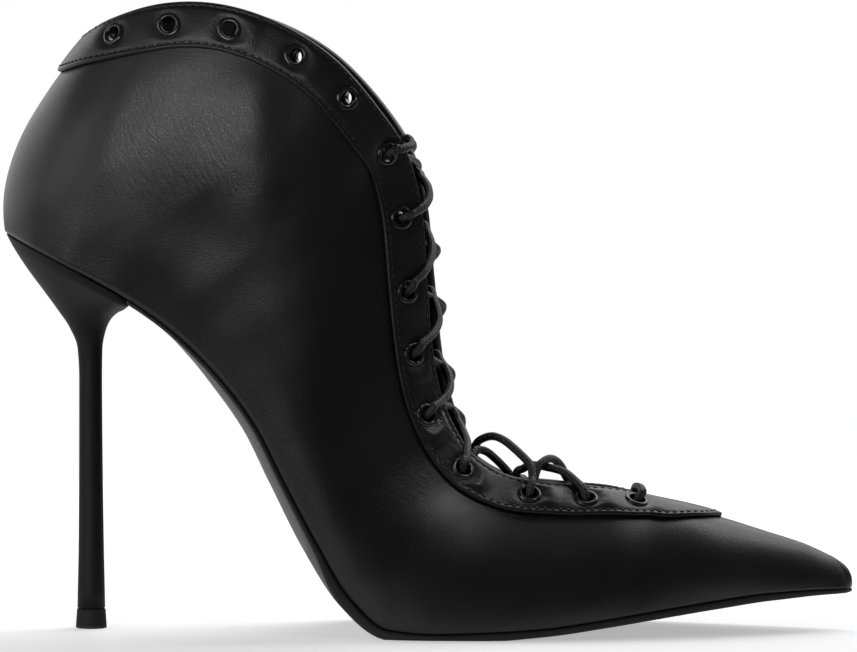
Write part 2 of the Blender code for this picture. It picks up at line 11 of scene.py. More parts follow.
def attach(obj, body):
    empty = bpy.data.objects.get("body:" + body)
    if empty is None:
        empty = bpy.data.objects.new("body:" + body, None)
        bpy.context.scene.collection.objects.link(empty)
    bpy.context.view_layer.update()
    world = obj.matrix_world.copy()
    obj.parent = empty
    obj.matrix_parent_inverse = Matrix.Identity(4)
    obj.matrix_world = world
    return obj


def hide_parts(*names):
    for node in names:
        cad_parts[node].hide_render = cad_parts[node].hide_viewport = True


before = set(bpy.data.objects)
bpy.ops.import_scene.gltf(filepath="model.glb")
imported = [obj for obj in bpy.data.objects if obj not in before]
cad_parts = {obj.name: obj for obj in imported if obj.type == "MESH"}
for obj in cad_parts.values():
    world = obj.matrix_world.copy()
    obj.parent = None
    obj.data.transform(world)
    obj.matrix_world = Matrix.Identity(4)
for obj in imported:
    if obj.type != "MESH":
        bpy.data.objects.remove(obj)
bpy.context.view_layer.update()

MM = 0.001
CENTRE = np.array((0.23, -0.18, 0.0))   # the boot's tables are in millimetres from here

WALL = 1.4             # upper with its lining
BAND_FACE = 1.5        # outer face of the band above the upper
BAND_MIN = 1.5         # width of the band at its point on the toe
SEAM = 0.3             # gap between the upper and the sole
SOLE_INSET = 0.3
INSOLE_INSET = 1.6
INSOLE_THICK = 2.0
BREAST_X = -89.7       # front of the heel, where the sole ends
LIFT_X = -101.5        # middle of the top-lift
HOLE_R = 2.9
LACE_R = 1.25
WRINKLE = (0.0034, 0.0016, 0.0011)      # length, depth and pitch of the finest wrinkles, in metres
CLOSED_TO = 6.0        # rib station where the throat begins to open
RIDGE_BLEND = 0.6      # stations over which the two sides of the band part at the throat

RIB_NAMES = ("foot_x", "foot_z", "foot_out", "foot_in", "axis_y",
             "top_x", "top_z", "gap", "lead", "lift", "band",
             "rise_low", "swell_low", "rise_high", "swell_high", "sole_mid", "sole_rim")
RIBS = (
    (128.3, 12.7, 0.0, 0.0, 4.5, 124.6, 20.3, 0.0, 0.0, 0.0, -24.0, 0.50, 2.6, 0.95, 1.6, 0.9, 0.9),
    (126.7, 12.7, 3.2, 3.2, 4.4, 121.3, 22.4, 0.0, 0.0, 0.0, -22.0, 0.55, 2.8, 1.00, 2.2, 1.2, 1.2),
    (117.1, 12.8, 9.0, 9.0, 3.8, 113.1, 26.1, 0.0, 0.0, 0.0, -18.0, 0.55, 5.0, 1.00, 5.0, 1.6, 1.6),
    (102.7, 12.4, 15.2, 15.6, 2.8, 101.2, 29.9, 0.0, 0.0, 0.0, -9.0, 0.55, 8.4, 1.00, 8.4, 2.2, 2.2),
    (86.6, 10.8, 21.8, 22.5, 1.8, 88.9, 33.7, 0.0, 0.0, 0.0, 0.5, 0.55, 12.0, 1.00, 12.0, 2.4, 2.4),
    (74.5, 9.2, 26.0, 26.8, 1.2, 78.7, 36.5, 0.0, 0.0, 0.0, 9.0, 0.55, 14.3, 1.00, 14.3, 2.4, 2.4),
    (62.6, 7.5, 29.6, 30.5, 0.7, 66.7, 39.2, 0.0, 0.0, 0.0, 12.9, 0.55, 16.2, 1.00, 11.5, 2.4, 2.4),
    (50.7, 5.7, 32.6, 33.5, 0.3, 54.5, 42.0, 4.5, 0.2, 0.0, 12.9, 0.52, 16.0, 0.92, 7.2, 2.3, 2.3),
    (34.3, 3.6, 35.5, 36.0, 0.0, 39.5, 43.8, 6.5, 0.3, -0.3, 12.9, 0.49, 15.5, 0.82, 3.6, 2.3, 2.3),
    (18.1, 2.6, 36.8, 36.5, 0.0, 24.4, 46.1, 8.0, 0.4, -0.6, 12.9, 0.47, 15.0, 0.80, 2.6, 2.6, 2.6),
    (2.5, 2.1, 36.6, 35.0, 0.0, 13.7, 52.2, 9.0, 0.2, -0.6, 12.9, 0.45, 14.5, 0.78, 2.8, 2.6, 2.6),
    (-11.3, 3.1, 34.7, 32.0, 0.0, 7.4, 61.0, 9.0, 1.8, 0.0, 12.6, 0.42, 14.5, 0.78, 2.4, 3.2, 3.0),
    (-23.2, 12.5, 31.7, 28.5, 0.0, 3.0, 72.1, 9.0, 2.6, 0.0, 12.5, 0.38, 15.0, 0.78, 1.4, 5.0, 3.6),
    (-32.8, 28.0, 28.9, 25.5, 0.0, 0.5, 85.9, 9.0, 2.7, 0.0, 12.6, 0.35, 16.0, 0.78, 0.6, 5.8, 1.8),
    (-42.6, 45.9, 26.0, 22.8, 0.0, -1.1, 106.0, 9.5, 2.3, 0.0, 12.7, 0.33, 17.0, 0.78, 0.6, 5.2, 1.4),
    (-51.5, 62.9, 23.9, 21.0, 0.0, -2.6, 126.4, 10.5, 1.8, 0.0, 12.9, 0.33, 17.5, 0.78, 1.4, 4.8, 1.2),
    (-60.5, 75.0, 22.4, 20.2, 0.0, -7.0, 143.4, 13.0, 1.8, 0.0, 12.9, 0.33, 17.0, 0.76, 2.4, 4.3, 1.2),
    (-69.4, 84.5, 21.6, 20.2, 0.0, -14.9, 156.1, 20.0, 2.0, 0.0, 12.9, 0.33, 13.5, 0.72, 4.0, 3.2, 1.2),
    (-78.3, 92.4, 21.9, 21.0, 0.0, -28.0, 171.1, 25.0, 1.3, 0.0, 12.9, 0.33, 10.0, 0.70, 7.5, 2.2, 1.1),
    (-87.2, 98.8, 22.9, 22.5, 0.0, -43.9, 181.5, 27.5, 2.0, -0.8, 12.9, 0.33, 7.0, 0.68, 7.0, 2.1, 1.1),
    (-96.1, 104.2, 24.1, 24.1, 0.0, -61.2, 187.2, 28.5, 3.4, -1.4, 12.9, 0.33, 6.0, 0.67, 5.5, 2.1, 1.1),
    (-106.5, 109.6, 24.1, 24.1, 0.0, -78.1, 187.5, 27.0, 3.0, -1.2, 12.9, 0.33, 6.0, 0.67, 5.5, 2.1, 1.1),
    (-117.4, 115.1, 19.9, 19.9, 0.0, -93.5, 182.9, 18.8, 1.6, -0.6, 12.9, 0.33, 9.0, 0.67, 6.5, 2.1, 1.1),
    (-127.5, 119.8, 0.0, 0.0, 0.0, -102.6, 177.8, 0.0, 0.0, 0.0, 12.9, 0.33, 12.0, 0.67, 7.5, 2.1, 1.1),
)
MIRROR_FLIPS = ("foot_out", "foot_in", "gap")
ROUNDED = ("top_x", "top_z")
LAST = len(RIBS) - 1

# Eyelets from the back of the collar to the vamp: rib station, distance from the edge, swell of the leather
# beside the eyelet, and where the swell lies: 0 towards the heel, 90 down, 180 towards the toe.
EYELETS = (
    (21.75, 5.8, 0.2, 90), (20.78, 6.3, 0.3, 90), (19.74, 6.5, 0.45, 180), (18.58, 6.0, 0.5, 140),
    (17.55, 5.4, 0.3, 90), (16.37, 5.9, 0.2, 90), (15.25, 7.1, 0.2, 90), (14.18, 7.1, 0.2, 90),
    (13.28, 7.0, 0.7, 95), (12.07, 7.6, 1.3, 110), (10.3, 7.2, 1.2, 160), (8.57, 6.1, 1.0, 165),
    (7.5, 6.6, 0.7, 175), (6.47, 6.4, 0.3, 180),
)

HEEL_NAMES = ("back_x", "back_z", "front_x", "front_z", "half_wide", "widest", "front_square", "crown")
HEEL_RINGS = (
    (-127.2, 119.2, -90.0, 100.0, 24.0, .70, 8.0, 0.6),
    (-125.2, 115.4, -90.2, 97.7, 22.4, .72, 6.0, 0.5),
    (-120.9, 108.7, -91.3, 96.4, 18.0, .68, 4.0, 0.2),
    (-116.2, 102.3, -93.4, 95.3, 13.4, .62, 3.0, 0.0),
    (-111.6, 96.0, -95.5, 93.4, 9.2, .57, 2.4, 0.0),
    (-107.9, 90.4, -97.2, 89.8, 6.2, .53, 2.0, 0.0),
    (-105.7, 84.5, -98.2, 84.0, 4.2, .50, 2.0, 0.0),
    (-105.2, 75.0, -98.3, 75.0, 3.5, .50, 2.0, 0.0),
    (-105.2, 60.0, -98.2, 60.0, 3.5, .50, 2.0, 0.0),
    (-105.3, 30.0, -97.8, 30.0, 3.8, .50, 2.0, 0.0),
    (-105.7, 6.2, -97.3, 6.2, 4.2, .50, 2.0, 0.0),
)

# The lace where it arches over the throat after each eyelet, by the eyelet's number: outer side, inner side,
# and the lowest bar.
LACE_OUTER = {
    13: ((44.8, -8.0, 45.0), (40.9, -4.5, 47.9), (35.7, -0.5, 49.1), (31.2, 2.5, 49.5), (28.9, 4.5, 48.3),
         (26.8, 5.0, 46.2)),
    12: ((31.3, -9.6, 46.4), (30.9, -7.7, 49.8), (29.3, -6.0, 51.8), (25.9, -3.5, 54.9), (22.6, -1.0, 57.3),
         (19.3, 2.0, 58.2), (15.9, 4.0, 57.0), (13.9, 5.5, 54.6)),
    11: ((11.2, -16.3, 50.9), (11.6, -13.3, 53.8), (11.7, -8.0, 57.0), (10.5, -3.0, 60.0), (9.0, 1.5, 62.7),
         (6.8, 5.0, 65.8)),
    10: ((1.6, -14.3, 68.2), (3.9, -11.1, 69.5), (6.0, -7.5, 71.7), (6.6, -3.5, 74.5), (5.6, 0.5, 77.9),
         (3.6, 4.5, 80.9), (2.0, 6.5, 83.0)),
    9: ((-1.9, -13.8, 87.1), (1.1, -10.5, 89.4), (3.0, -5.5, 92.7), (2.7, -1.5, 96.1), (1.5, 3.0, 99.5),
        (0.0, 6.5, 102.4)),
    8: ((-4.2, -14.4, 105.4), (-1.0, -11.5, 108.5), (0.7, -6.5, 112.2), (0.9, -1.5, 116.0),
        (-0.5, 3.5, 119.7), (-1.8, 6.5, 122.0)),
    7: ((-4.7, -14.5, 125.8), (-1.7, -12.0, 127.6), (0.0, -8.0, 130.2), (-0.3, -3.5, 133.4),
        (-2.1, 1.0, 136.0), (-3.9, 6.0, 138.1)),
    6: ((-9.1, -20.0, 144.7), (-7.0, -18.3, 145.4), (-5.5, -15.8, 145.9), (-5.4, -13.2, 147.2),
        (-6.6, -12.0, 148.3), (-7.9, -12.0, 147.8), (-8.8, -12.5, 146.2)),
}
LACE_INNER = {
    13: ((43.4, 10.2, 43.6), (41.6, 8.4, 45.8), (40.7, 6.0, 48.2), (39.1, 3.0, 50.4), (36.9, 0.0, 51.6),
         (34.6, -2.5, 50.8), (32.6, -4.5, 48.1)),
    12: ((25.9, 8.0, 45.3), (23.5, 6.5, 47.9), (20.5, 3.5, 51.1), (17.6, 0.5, 53.6), (14.9, -2.5, 54.3),
         (13.3, -5.0, 52.5)),
    11: ((11.5, 15.0, 54.0), (10.2, 12.6, 59.5), (10.0, 9.0, 63.3), (7.0, 4.5, 66.4), (5.2, 0.5, 67.4),
         (3.9, -3.5, 68.0), (2.2, -6.5, 68.0)),
    10: ((3.4, 15.2, 68.5), (5.0, 12.8, 72.0), (7.1, 9.5, 76.2), (5.0, 5.3, 79.0), (2.6, 0.5, 80.3),
         (0.5, -4.2, 82.0), (-1.2, -7.8, 83.4)),
    9: ((0.0, 15.2, 88.0), (1.9, 12.8, 92.5), (4.3, 9.5, 96.7), (2.3, 5.5, 99.0), (-0.5, 1.0, 100.6),
        (-2.3, -4.0, 101.8), (-3.4, -7.6, 102.6)),
    8: ((-2.2, 15.2, 106.5), (-0.3, 13.2, 110.2), (2.5, 9.7, 113.8), (0.4, 5.5, 116.2), (-2.5, 0.5, 118.2),
        (-3.8, -4.5, 120.2), (-4.5, -7.6, 122.0)),
    7: ((-5.0, 16.0, 129.5), (-4.2, 14.4, 134.5), (-3.4, 10.8, 139.4), (-4.8, 4.5, 141.2),
        (-6.3, -3.0, 142.0), (-8.2, -8.0, 142.6)),
    6: ((-7.8, 20.0, 143.3), (-5.6, 18.0, 144.2), (-4.9, 15.5, 145.5), (-5.6, 13.2, 146.8),
        (-7.1, 12.0, 147.0), (-8.3, 12.5, 145.8)),
}
LACE_BAR = ((64.5, -7.2, 42.1), (64.2, -3.6, 43.0), (63.4, 0.0, 43.2), (62.7, 3.6, 42.9), (62.6, 7.0, 41.6))
# The lace inside an eyelet: height above the leather, and lean towards where it goes outside.
LACE_IN_EYELET = ((-4.6, -1.3), (-1.7, -0.75), (0.9, 0.1), (2.6, 1.35), (3.35, 3.1))

CAMERA_AT = (0.0, -1713.0, 172.3)
CAMERA_DROP = 80.8     # how far the line of sight sinks on its way to the boot
CAMERA_ROLL = 0.19     # degrees
CAMERA_LENS = 239.2


class Wire:
    """One value of a finish; sums on it add Math nodes."""

    def __init__(self, finish, socket):
        self.finish = finish
        self.socket = socket

    def __add__(self, other):
        return self.finish.sum("ADD", self, other)

    def __sub__(self, other):
        return self.finish.sum("SUBTRACT", self, other)

    def __rsub__(self, other):
        return self.finish.sum("SUBTRACT", other, self)

    def __mul__(self, other):
        return self.finish.sum("MULTIPLY", self, other)

    __radd__ = __add__
    __rmul__ = __mul__


class Finish:
    """A material on the Principled shader; constants are set on its own sockets."""

    def __init__(self, name, colour, rough, **constants):
        self.material = bpy.data.materials.new(name)
        self.material.use_nodes = True
        self.tree = self.material.node_tree
        self.shader = self.tree.nodes["Principled BSDF"]
        self.shader.inputs["Base Color"].default_value = (*colour, 1.0)
        self.shader.inputs["Roughness"].default_value = rough
        for socket, value in constants.items():
            self.shader.inputs[socket.replace("_", " ")].default_value = value

    def node(self, kind, settings=None, sockets=None, out=0):
        """Any node: its settings first, then values or links of its sockets."""
        made = self.tree.nodes.new("ShaderNode" + kind)
        for key, value in (settings or {}).items():
            setattr(made, key, value)
        for key, value in (sockets or {}).items():
            if isinstance(value, Wire):
                self.tree.links.new(value.socket, made.inputs[key])
            else:
                made.inputs[key].default_value = value
        return Wire(self, made.outputs[out])

    def sum(self, operation, a, b=0.0):
        return self.node("Math", {"operation": operation}, {0: a, 1: b})

    def clamped(self, value, low, high):
        """0 below low, 1 above high, smooth between."""
        return self.node("MapRange", {"interpolation_type": "SMOOTHSTEP"},
                         {"Value": value, "From Min": low, "From Max": high})

    def blend(self, factor, a, b):
        """A colour between two others."""
        a = (*a, 1.0) if isinstance(a, tuple) else a
        b = (*b, 1.0) if isinstance(b, tuple) else b
        return self.node("Mix", {"data_type": "RGBA"}, {0: factor, 6: a, 7: b}, out=2)

    def vector(self, operation, a, b, out=0):
        return self.node("VectorMath", {"operation": operation}, {0: a, 1: b}, out=out)

    def place(self):
        """Where a point of the piece is, in metres."""
        return self.node("TexCoord", out="Object")

    def noise(self, at, scale, detail=2.0, rough=0.5):
        return self.node("TexNoise", None,
                         {"Vector": at, "Scale": scale, "Detail": detail, "Roughness": rough})

    def cells(self, at, scale):
        """Distance to the nearest border between cells."""
        return self.node("TexVoronoi", {"feature": "DISTANCE_TO_EDGE"}, {"Vector": at, "Scale": scale},
                         out="Distance")

    def near(self, at, middle, reach):
        """1 at a spot given in millimetres, 0 beyond its reach."""
        spot = tuple((np.array(middle) - CENTRE) * MM)
        away = self.vector("DISTANCE", at, spot, out="Value")
        return 1 - self.clamped(away, 0.3 * reach * MM, reach * MM)

    def feed(self, socket, value):
        self.tree.links.new(value.socket, self.shader.inputs[socket])

    def relief(self, height, depth, strength):
        """Bump of a height, its depth in metres."""
        bump = {"Strength": strength, "Distance": depth, "Height": height}
        self.feed("Normal", self.node("Bump", None, bump, out="Normal"))


def shade(colour, by):
    """A colour made darker or lighter."""
    return tuple(by * c for c in colour)


def nappa(name, colour, rough, grain, wrinkles):
    """Soft black leather: fine pebble grain, with spots where it is drawn into fine wrinkles."""
    leather = Finish(name, colour, rough, Specular_IOR_Level=0.36)
    at = leather.place()
    sway = leather.node("TexNoise", None, {"Vector": at, "Scale": 420.0, "Detail": 2.0}, out="Color")
    shift = leather.node("VectorMath", {"operation": "SCALE"}, {0: sway, "Scale": 0.0009})
    bent = leather.vector("ADD", at, shift)
    pebble = leather.clamped(leather.cells(bent, 1150.0), 0.0, 0.22)
    pores = leather.noise(at, 2600.0, 2.0)
    slow = leather.noise(at, 55.0, 3.0)
    height = pebble * 0.55 + pores * 0.35 + slow * 0.5
    for middle, reach, lean, amount in wrinkles:
        laid = leather.node("Mapping", {"vector_type": "TEXTURE"},
                            {"Vector": bent, "Rotation": (0.0, radians(lean), 0.0), "Scale": WRINKLE})
        folds = leather.noise(laid, 1.0, 2.0, 0.55)
        height = height + leather.near(at, middle, reach) * folds * amount
    leather.relief(height, 0.0002, grain)
    cloud = leather.noise(at, 34.0, 3.0)
    leather.feed("Roughness", (cloud - 0.5) * 0.16 + rough + (1 - pebble) * 0.07)
    patch = leather.clamped(cloud, 0.3, 0.75)
    leather.feed("Base Color", leather.blend(patch, shade(colour, 0.82), shade(colour, 1.2)))
    return leather.material


def lining_leather(name, colour):
    """Matt lining with a soft nap."""
    lining = Finish(name, colour, 0.72, Specular_IOR_Level=0.35)
    at = lining.place()
    nap = lining.noise(at, 1900.0, 3.0)
    patch = lining.noise(at, 60.0, 3.0)
    lining.relief(nap + patch * 0.6, 0.00016, 0.35)
    lining.feed("Base Color", lining.blend(patch, shade(colour, 0.7), shade(colour, 1.35)))
    lining.feed("Roughness", nap * 0.16 + 0.64)
    return lining.material


def sole_leather(name):
    """Blackened sole: plain edge and forepart, satin waist behind the ball."""
    sole = Finish(name, (0.013, 0.013, 0.013), 0.5, Specular_IOR_Level=0.26)
    at = sole.place()
    along = sole.node("SeparateXYZ", None, {0: at}, out="X")
    waist = 1 - sole.clamped(along, -0.0372, -0.0356)
    streak = sole.noise(sole.node("Mapping", None, {"Vector": at, "Scale": (120.0, 900.0, 900.0)}), 1.0, 3.0)
    scuff = sole.noise(at, 900.0, 3.0)
    forepart = sole.blend(streak, (0.008, 0.008, 0.008), (0.016, 0.016, 0.016))
    satin = sole.blend(scuff, (0.013, 0.013, 0.0134), (0.020, 0.020, 0.0204))
    sole.feed("Base Color", sole.blend(waist, forepart, satin))
    sole.feed("Roughness", 0.5 + scuff * 0.14 - waist * 0.06)
    sole.relief(streak * (1 - waist) + scuff * 0.35, 0.00012, 0.3)
    return sole.material


def heel_cover(name):
    """Matt covered heel with a fine smooth skin."""
    cover = Finish(name, (0.004, 0.004, 0.0041), 0.6, Specular_IOR_Level=0.12)
    at = cover.place()
    skin_grain = cover.clamped(cover.cells(at, 1500.0), 0.0, 0.25)
    cloud = cover.noise(at, 70.0, 3.0)
    cover.relief(skin_grain * 0.5 + cloud, 0.00009, 0.3)
    cover.feed("Roughness", cloud * 0.14 + 0.54)
    cover.feed("Base Color", cover.blend(cloud, (0.0032, 0.0032, 0.0033), (0.0052, 0.0052, 0.0054)))
    return cover.material


def lift_rubber(name):
    rubber = Finish(name, (0.009, 0.009, 0.009), 0.7, Specular_IOR_Level=0.15)
    at = rubber.place()
    speck = rubber.noise(at, 2200.0, 3.0)
    scuff = 1 - rubber.clamped(rubber.node("SeparateXYZ", None, {0: at}, out="Z"), 0.0, 0.0012)
    rubber.relief(speck, 0.0001, 0.4)
    rubber.feed("Base Color", rubber.blend(scuff * speck, (0.008, 0.008, 0.008), (0.05, 0.05, 0.05)))
    rubber.feed("Roughness", speck * 0.2 + 0.6)
    return rubber.material


def eyelet_enamel(name):
    """Black enamel over turned metal."""
    enamel = Finish(name, (0.006, 0.006, 0.006), 0.2, Specular_IOR_Level=0.55)
    at = enamel.place()
    peel = enamel.noise(at, 1400.0, 2.0)
    enamel.relief(peel, 0.00005, 0.25)
    enamel.feed("Roughness", peel * 0.12 + 0.14)
    enamel.feed("Base Color", enamel.blend(peel, (0.004, 0.004, 0.004), (0.009, 0.009, 0.0092)))
    return enamel.material


def lace_cord(name):
    """Round braided cord, lightly waxed: two families of strands wound against each other, with painted shade
    in the grooves between them.
    """
    cord = Finish(name, (0.01, 0.01, 0.01), 0.5, Specular_IOR_Level=0.45)
    laid = cord.node("UVMap", {"uv_map": "along"})
    around = cord.node("SeparateXYZ", None, {0: laid}, out="X")
    along = cord.node("SeparateXYZ", None, {0: laid}, out="Y")
    one = cord.sum("SINE", (around * 6.0 + along * 0.95) * (2 * pi))
    two = cord.sum("SINE", (around * 6.0 - along * 0.95) * (2 * pi))
    over = cord.sum("SINE", along * (2 * pi * 0.95))
    pick = cord.clamped(over, -0.25, 0.25)
    weave = one * pick + two * (1 - pick)
    fuzz = cord.noise(cord.place(), 3800.0, 2.0)
    cord.relief(weave * 0.5 + fuzz * 0.4, 0.00022, 0.7)
    # Colour lighter on the crowns of the strands and darker in the grooves, following the weave's height:
    # painted shade in the braid, broken by random fuzz.
    painted_groove_shade = cord.clamped(weave + fuzz * 0.6, -0.9, 1.4)
    cord.feed("Base Color", cord.blend(painted_groove_shade, (0.004, 0.004, 0.004), (0.018, 0.018, 0.018)))
    cord.feed("Roughness", 0.6 - painted_groove_shade * 0.2)
    return cord.material


def stitch_thread(name):
    thread = Finish(name, (0.008, 0.008, 0.008), 0.5, Specular_IOR_Level=0.4)
    at = thread.place()
    ply = thread.noise(at, 2600.0, 2.0)
    thread.relief(ply, 0.0001, 0.5)
    thread.feed("Base Color", thread.blend(ply, (0.004, 0.004, 0.004), (0.011, 0.011, 0.011)))
    thread.feed("Roughness", ply * 0.2 + 0.36)
    return thread.material


def table_of(rows, names):
    data = np.array(rows, dtype=float)
    return {name: data[:, i] for i, name in enumerate(names)}


def smooth(values, at, rounded=False):
    """Cubic through evenly spaced values: monotone, or rounding over at its peaks."""
    values = np.asarray(values, dtype=float)
    step = np.diff(values)
    slope = np.zeros_like(values)
    left, right = step[:-1], step[1:]
    same = left * right > 0
    slope[1:-1][same] = 2 * left[same] * right[same] / (left[same] + right[same])
    if rounded:
        slope[1:-1] = (left + right) / 2
    slope[0], slope[-1] = step[0], step[-1]
    at = np.asarray(at, dtype=float)
    cell = np.clip(np.floor(at).astype(int), 0, len(values) - 2)
    t = at - cell
    a, b = values[cell], values[cell + 1]
    return (a * (1 + 2 * t) * (1 - t) ** 2 + b * t * t * (3 - 2 * t)
            + slope[cell] * t * (1 - t) ** 2 + slope[cell + 1] * t * t * (t - 1))


def carried_past(column, flips):
    """A column of the table carried past the toe and the back, so that both come out round."""
    sign = -1.0 if flips else 1.0
    return np.concatenate((sign * column[2:0:-1], column, sign * column[-2:-4:-1]))


RIB = {name: carried_past(column, name in MIRROR_FLIPS) for name, column in table_of(RIBS, RIB_NAMES).items()}


def rib_value(name, u):
    return smooth(RIB[name], np.asarray(u, dtype=float) + 2, name in ROUNDED)


def foot_line(side, u):
    wide = rib_value("foot_out" if side < 0 else "foot_in", u)
    across = rib_value("axis_y", u) + side * wide
    return np.stack((rib_value("foot_x", u), across, rib_value("foot_z", u)), -1)


def plan_normal(side, u):
    run = foot_line(side, np.asarray(u) + 0.02) - foot_line(side, np.asarray(u) - 0.02)
    out = np.stack((side * run[..., 1], -side * run[..., 0], 0 * run[..., 2]), -1)
    return out / np.linalg.norm(out, axis=-1, keepdims=True)


def top_line(side, u):
    inner = 1.0 if side > 0 else 0.0
    return np.stack((rib_value("top_x", u) + inner * rib_value("lead", u),
                     rib_value("axis_y", u) + side * rib_value("gap", u),
                     rib_value("top_z", u) + inner * rib_value("lift", u)), -1)


def skin(side, u, v):
    """Outer face of the upper: v runs from the sole line at 0 to the top line at 1."""
    u, v = np.broadcast_arrays(np.asarray(u, dtype=float), np.asarray(v, dtype=float))
    low, top, out = foot_line(side, u), top_line(side, u), plan_normal(side, u)
    rise = top - low
    p1 = low + rib_value("rise_low", u)[..., None] * rise + rib_value("swell_low", u)[..., None] * out
    p2 = low + rib_value("rise_high", u)[..., None] * rise + rib_value("swell_high", u)[..., None] * out
    v = v[..., None]
    w = 1 - v
    return low * w ** 3 + p1 * 3 * w * w * v + p2 * 3 * w * v * v + top * v ** 3


def unit(vectors):
    return vectors / np.linalg.norm(vectors, axis=-1, keepdims=True)


def skin_normal(side, u, v):
    du, dv = 0.02, 0.004
    u = np.asarray(u, dtype=float)
    v = np.clip(v, dv, 1 - dv)
    along = skin(side, u + du, v) - skin(side, u - du, v)
    up = skin(side, u, v + dv) - skin(side, u, v - dv)
    return unit(side * np.cross(along, up))


EDGE = {side: top_line(side, np.linspace(3.0, LAST, 260)) for side in (-1, 1)}


def heights(side, u, insets):
    """Heights v on one rib at given distances from the top line."""
    v = np.linspace(0.2, 1.0, 260)
    rib = skin(side, np.full_like(v, u), v)
    away = np.min(np.linalg.norm(rib[:, None] - EDGE[side][None], axis=2), axis=1)
    away[-1] = 0.0
    return np.interp(-np.asarray(insets, dtype=float), -away, v)


def band_start():
    """Rib station of the band's point on the toe."""
    u = np.linspace(3.0, CLOSED_TO, 301)
    return float(np.interp(BAND_MIN, rib_value("band", u), u))


def band_width(u):
    return max(float(rib_value("band", u)), BAND_MIN)


BAND_START = band_start()


def rib_run(count, *fixed):
    """Rib stations, close together at the toe and the back."""
    t = np.linspace(0, 1, count)
    run = LAST * (t - 0.35 * np.sin(2 * pi * t) / (2 * pi))
    for at in fixed:
        run[np.argmin(np.abs(run - at))] = at
    return run


def grid_faces(across, along, start=0, closed=False):
    i, j = np.meshgrid(np.arange(across - 1), np.arange(along if closed else along - 1), indexing="ij")
    a, b = start + i * along + j, start + i * along + (j + 1) % along
    return np.stack((a, b, b + along, a + along), -1).reshape(-1, 4).tolist()


def make_piece(name, points, faces, finish, nodes, weld=True):
    """A piece of the boot from points in millimetres, riding on the body and standing for its CAD nodes."""
    mesh = bpy.data.meshes.new(name)
    mesh.from_pydata(((np.asarray(points) - CENTRE) * MM).tolist(), [], faces)
    for one in finish if isinstance(finish, (list, tuple)) else [finish]:
        mesh.materials.append(one)
    if weld:
        bm = bmesh.new()
        bm.from_mesh(mesh)
        bmesh.ops.remove_doubles(bm, verts=bm.verts, dist=0.00002)
        bmesh.ops.dissolve_degenerate(bm, edges=bm.edges, dist=0.000008)
        bmesh.ops.recalc_face_normals(bm, faces=bm.faces)
        bm.to_mesh(mesh)
        bm.free()
    mesh.shade_smooth()
    made = bpy.data.objects.new(name, mesh)
    bpy.context.scene.collection.objects.link(made)
    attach(made, "root")
    if nodes:
        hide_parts(*nodes)
    return made


def eyelet_place(side, number):
    """Centre of an eyelet on the face of the upper, and its axis pointing outwards."""
    u, inset = EYELETS[number - 1][:2]
    v = heights(side, u, inset)
    return skin(side, u, v), skin_normal(side, np.float64(u), np.float64(v))


PLACES = {(side, number): eyelet_place(side, number)
          for side in (-1, 1) for number in range(1, len(EYELETS) + 1)}


def open_holes(made):
    """Holes for the eyelets, cut through one face and rounded off."""
    mesh = made.data
    at = np.empty(len(mesh.vertices) * 3)
    mesh.vertices.foreach_get("co", at)
    at = at.reshape(-1, 3) / MM + CENTRE
    corners = [tuple(p.vertices) for p in mesh.polygons]
    middles = np.array([at[list(c)].mean(axis=0) for c in corners])
    gone = np.zeros(len(corners), dtype=bool)
    moved = at.copy()
    for centre, axis in PLACES.values():
        for points, faces in ((middles, True), (at, False)):
            away = points - centre
            up = away @ axis
            flat = away - up[:, None] * axis
            r = np.linalg.norm(flat, axis=1)
            inside = (np.abs(up) < 4.5) & (r < HOLE_R)
            if faces:
                gone |= inside
            else:
                push = (HOLE_R / np.maximum(r[inside], 1e-6))[:, None]
                moved[inside] = centre + up[inside][:, None] * axis + flat[inside] * push
    mesh.vertices.foreach_set("co", ((moved - CENTRE) * MM).ravel())
    bm = bmesh.new()
    bm.from_mesh(mesh)
    bm.faces.ensure_lookup_table()
    bmesh.ops.delete(bm, geom=[bm.faces[i] for i in np.nonzero(gone)[0]], context="FACES")
    bm.to_mesh(mesh)
    bm.free()


def soft_unevenness(points):
    """Slight unevenness of stretched leather, in millimetres."""
    x, y, z = points[..., 0], points[..., 1], points[..., 2]
    return (0.10 * np.sin(x / 9.0 + z / 14.0) * np.sin(z / 8.0 - y / 11.0 + 0.7)
            + 0.07 * np.sin(x / 5.3 - z / 6.1 + 1.9) * np.sin(y / 6.7 + z / 5.1))


# Creases pressed into the upper: start and end in x and z, half width, and depth; minus is a ridge.
CREASES = (
    ((14.0, 38.0), (-16.0, 20.0), 5.0, 0.30), ((26.0, 34.0), (2.0, 16.0), 5.0, 0.22),
    ((-2.0, 54.0), (-26.0, 38.0), 5.0, 0.28), ((-12.0, 84.0), (-34.0, 66.0), 6.0, 0.25),
    ((-7.0, 62.0), (-30.0, 46.0), 4.0, -0.2), ((-50.5, 172.0), (-52.0, 142.0), 7.5, -1.0),
    ((-39.0, 168.0), (-42.0, 118.0), 8.0, 0.5), ((-92.0, 124.0), (-66.0, 91.0), 7.5, -0.8),
    ((-72.0, 131.0), (-56.0, 110.0), 12.0, 1.3), ((-100.0, 146.0), (-92.0, 126.0), 10.0, -0.6),
)


def crease_depth(points):
    """Soft troughs and ridges of the leather where the foot bends."""
    flat = points[..., (0, 2)]
    depth = np.zeros(points.shape[:-1])
    for start, end, half, deep in CREASES:
        a, b = np.array(start), np.array(end)
        t = np.clip(((flat - a) @ (b - a)) / np.dot(b - a, b - a), 0, 1)
        away = np.linalg.norm(flat - (a + t[..., None] * (b - a)), axis=-1)
        shallow_ends = 0.35 + 0.65 * np.sin(pi * np.clip(t, 0.05, 0.95))
        depth = depth + deep * np.exp(-(away / half) ** 2) * shallow_ends
    return depth


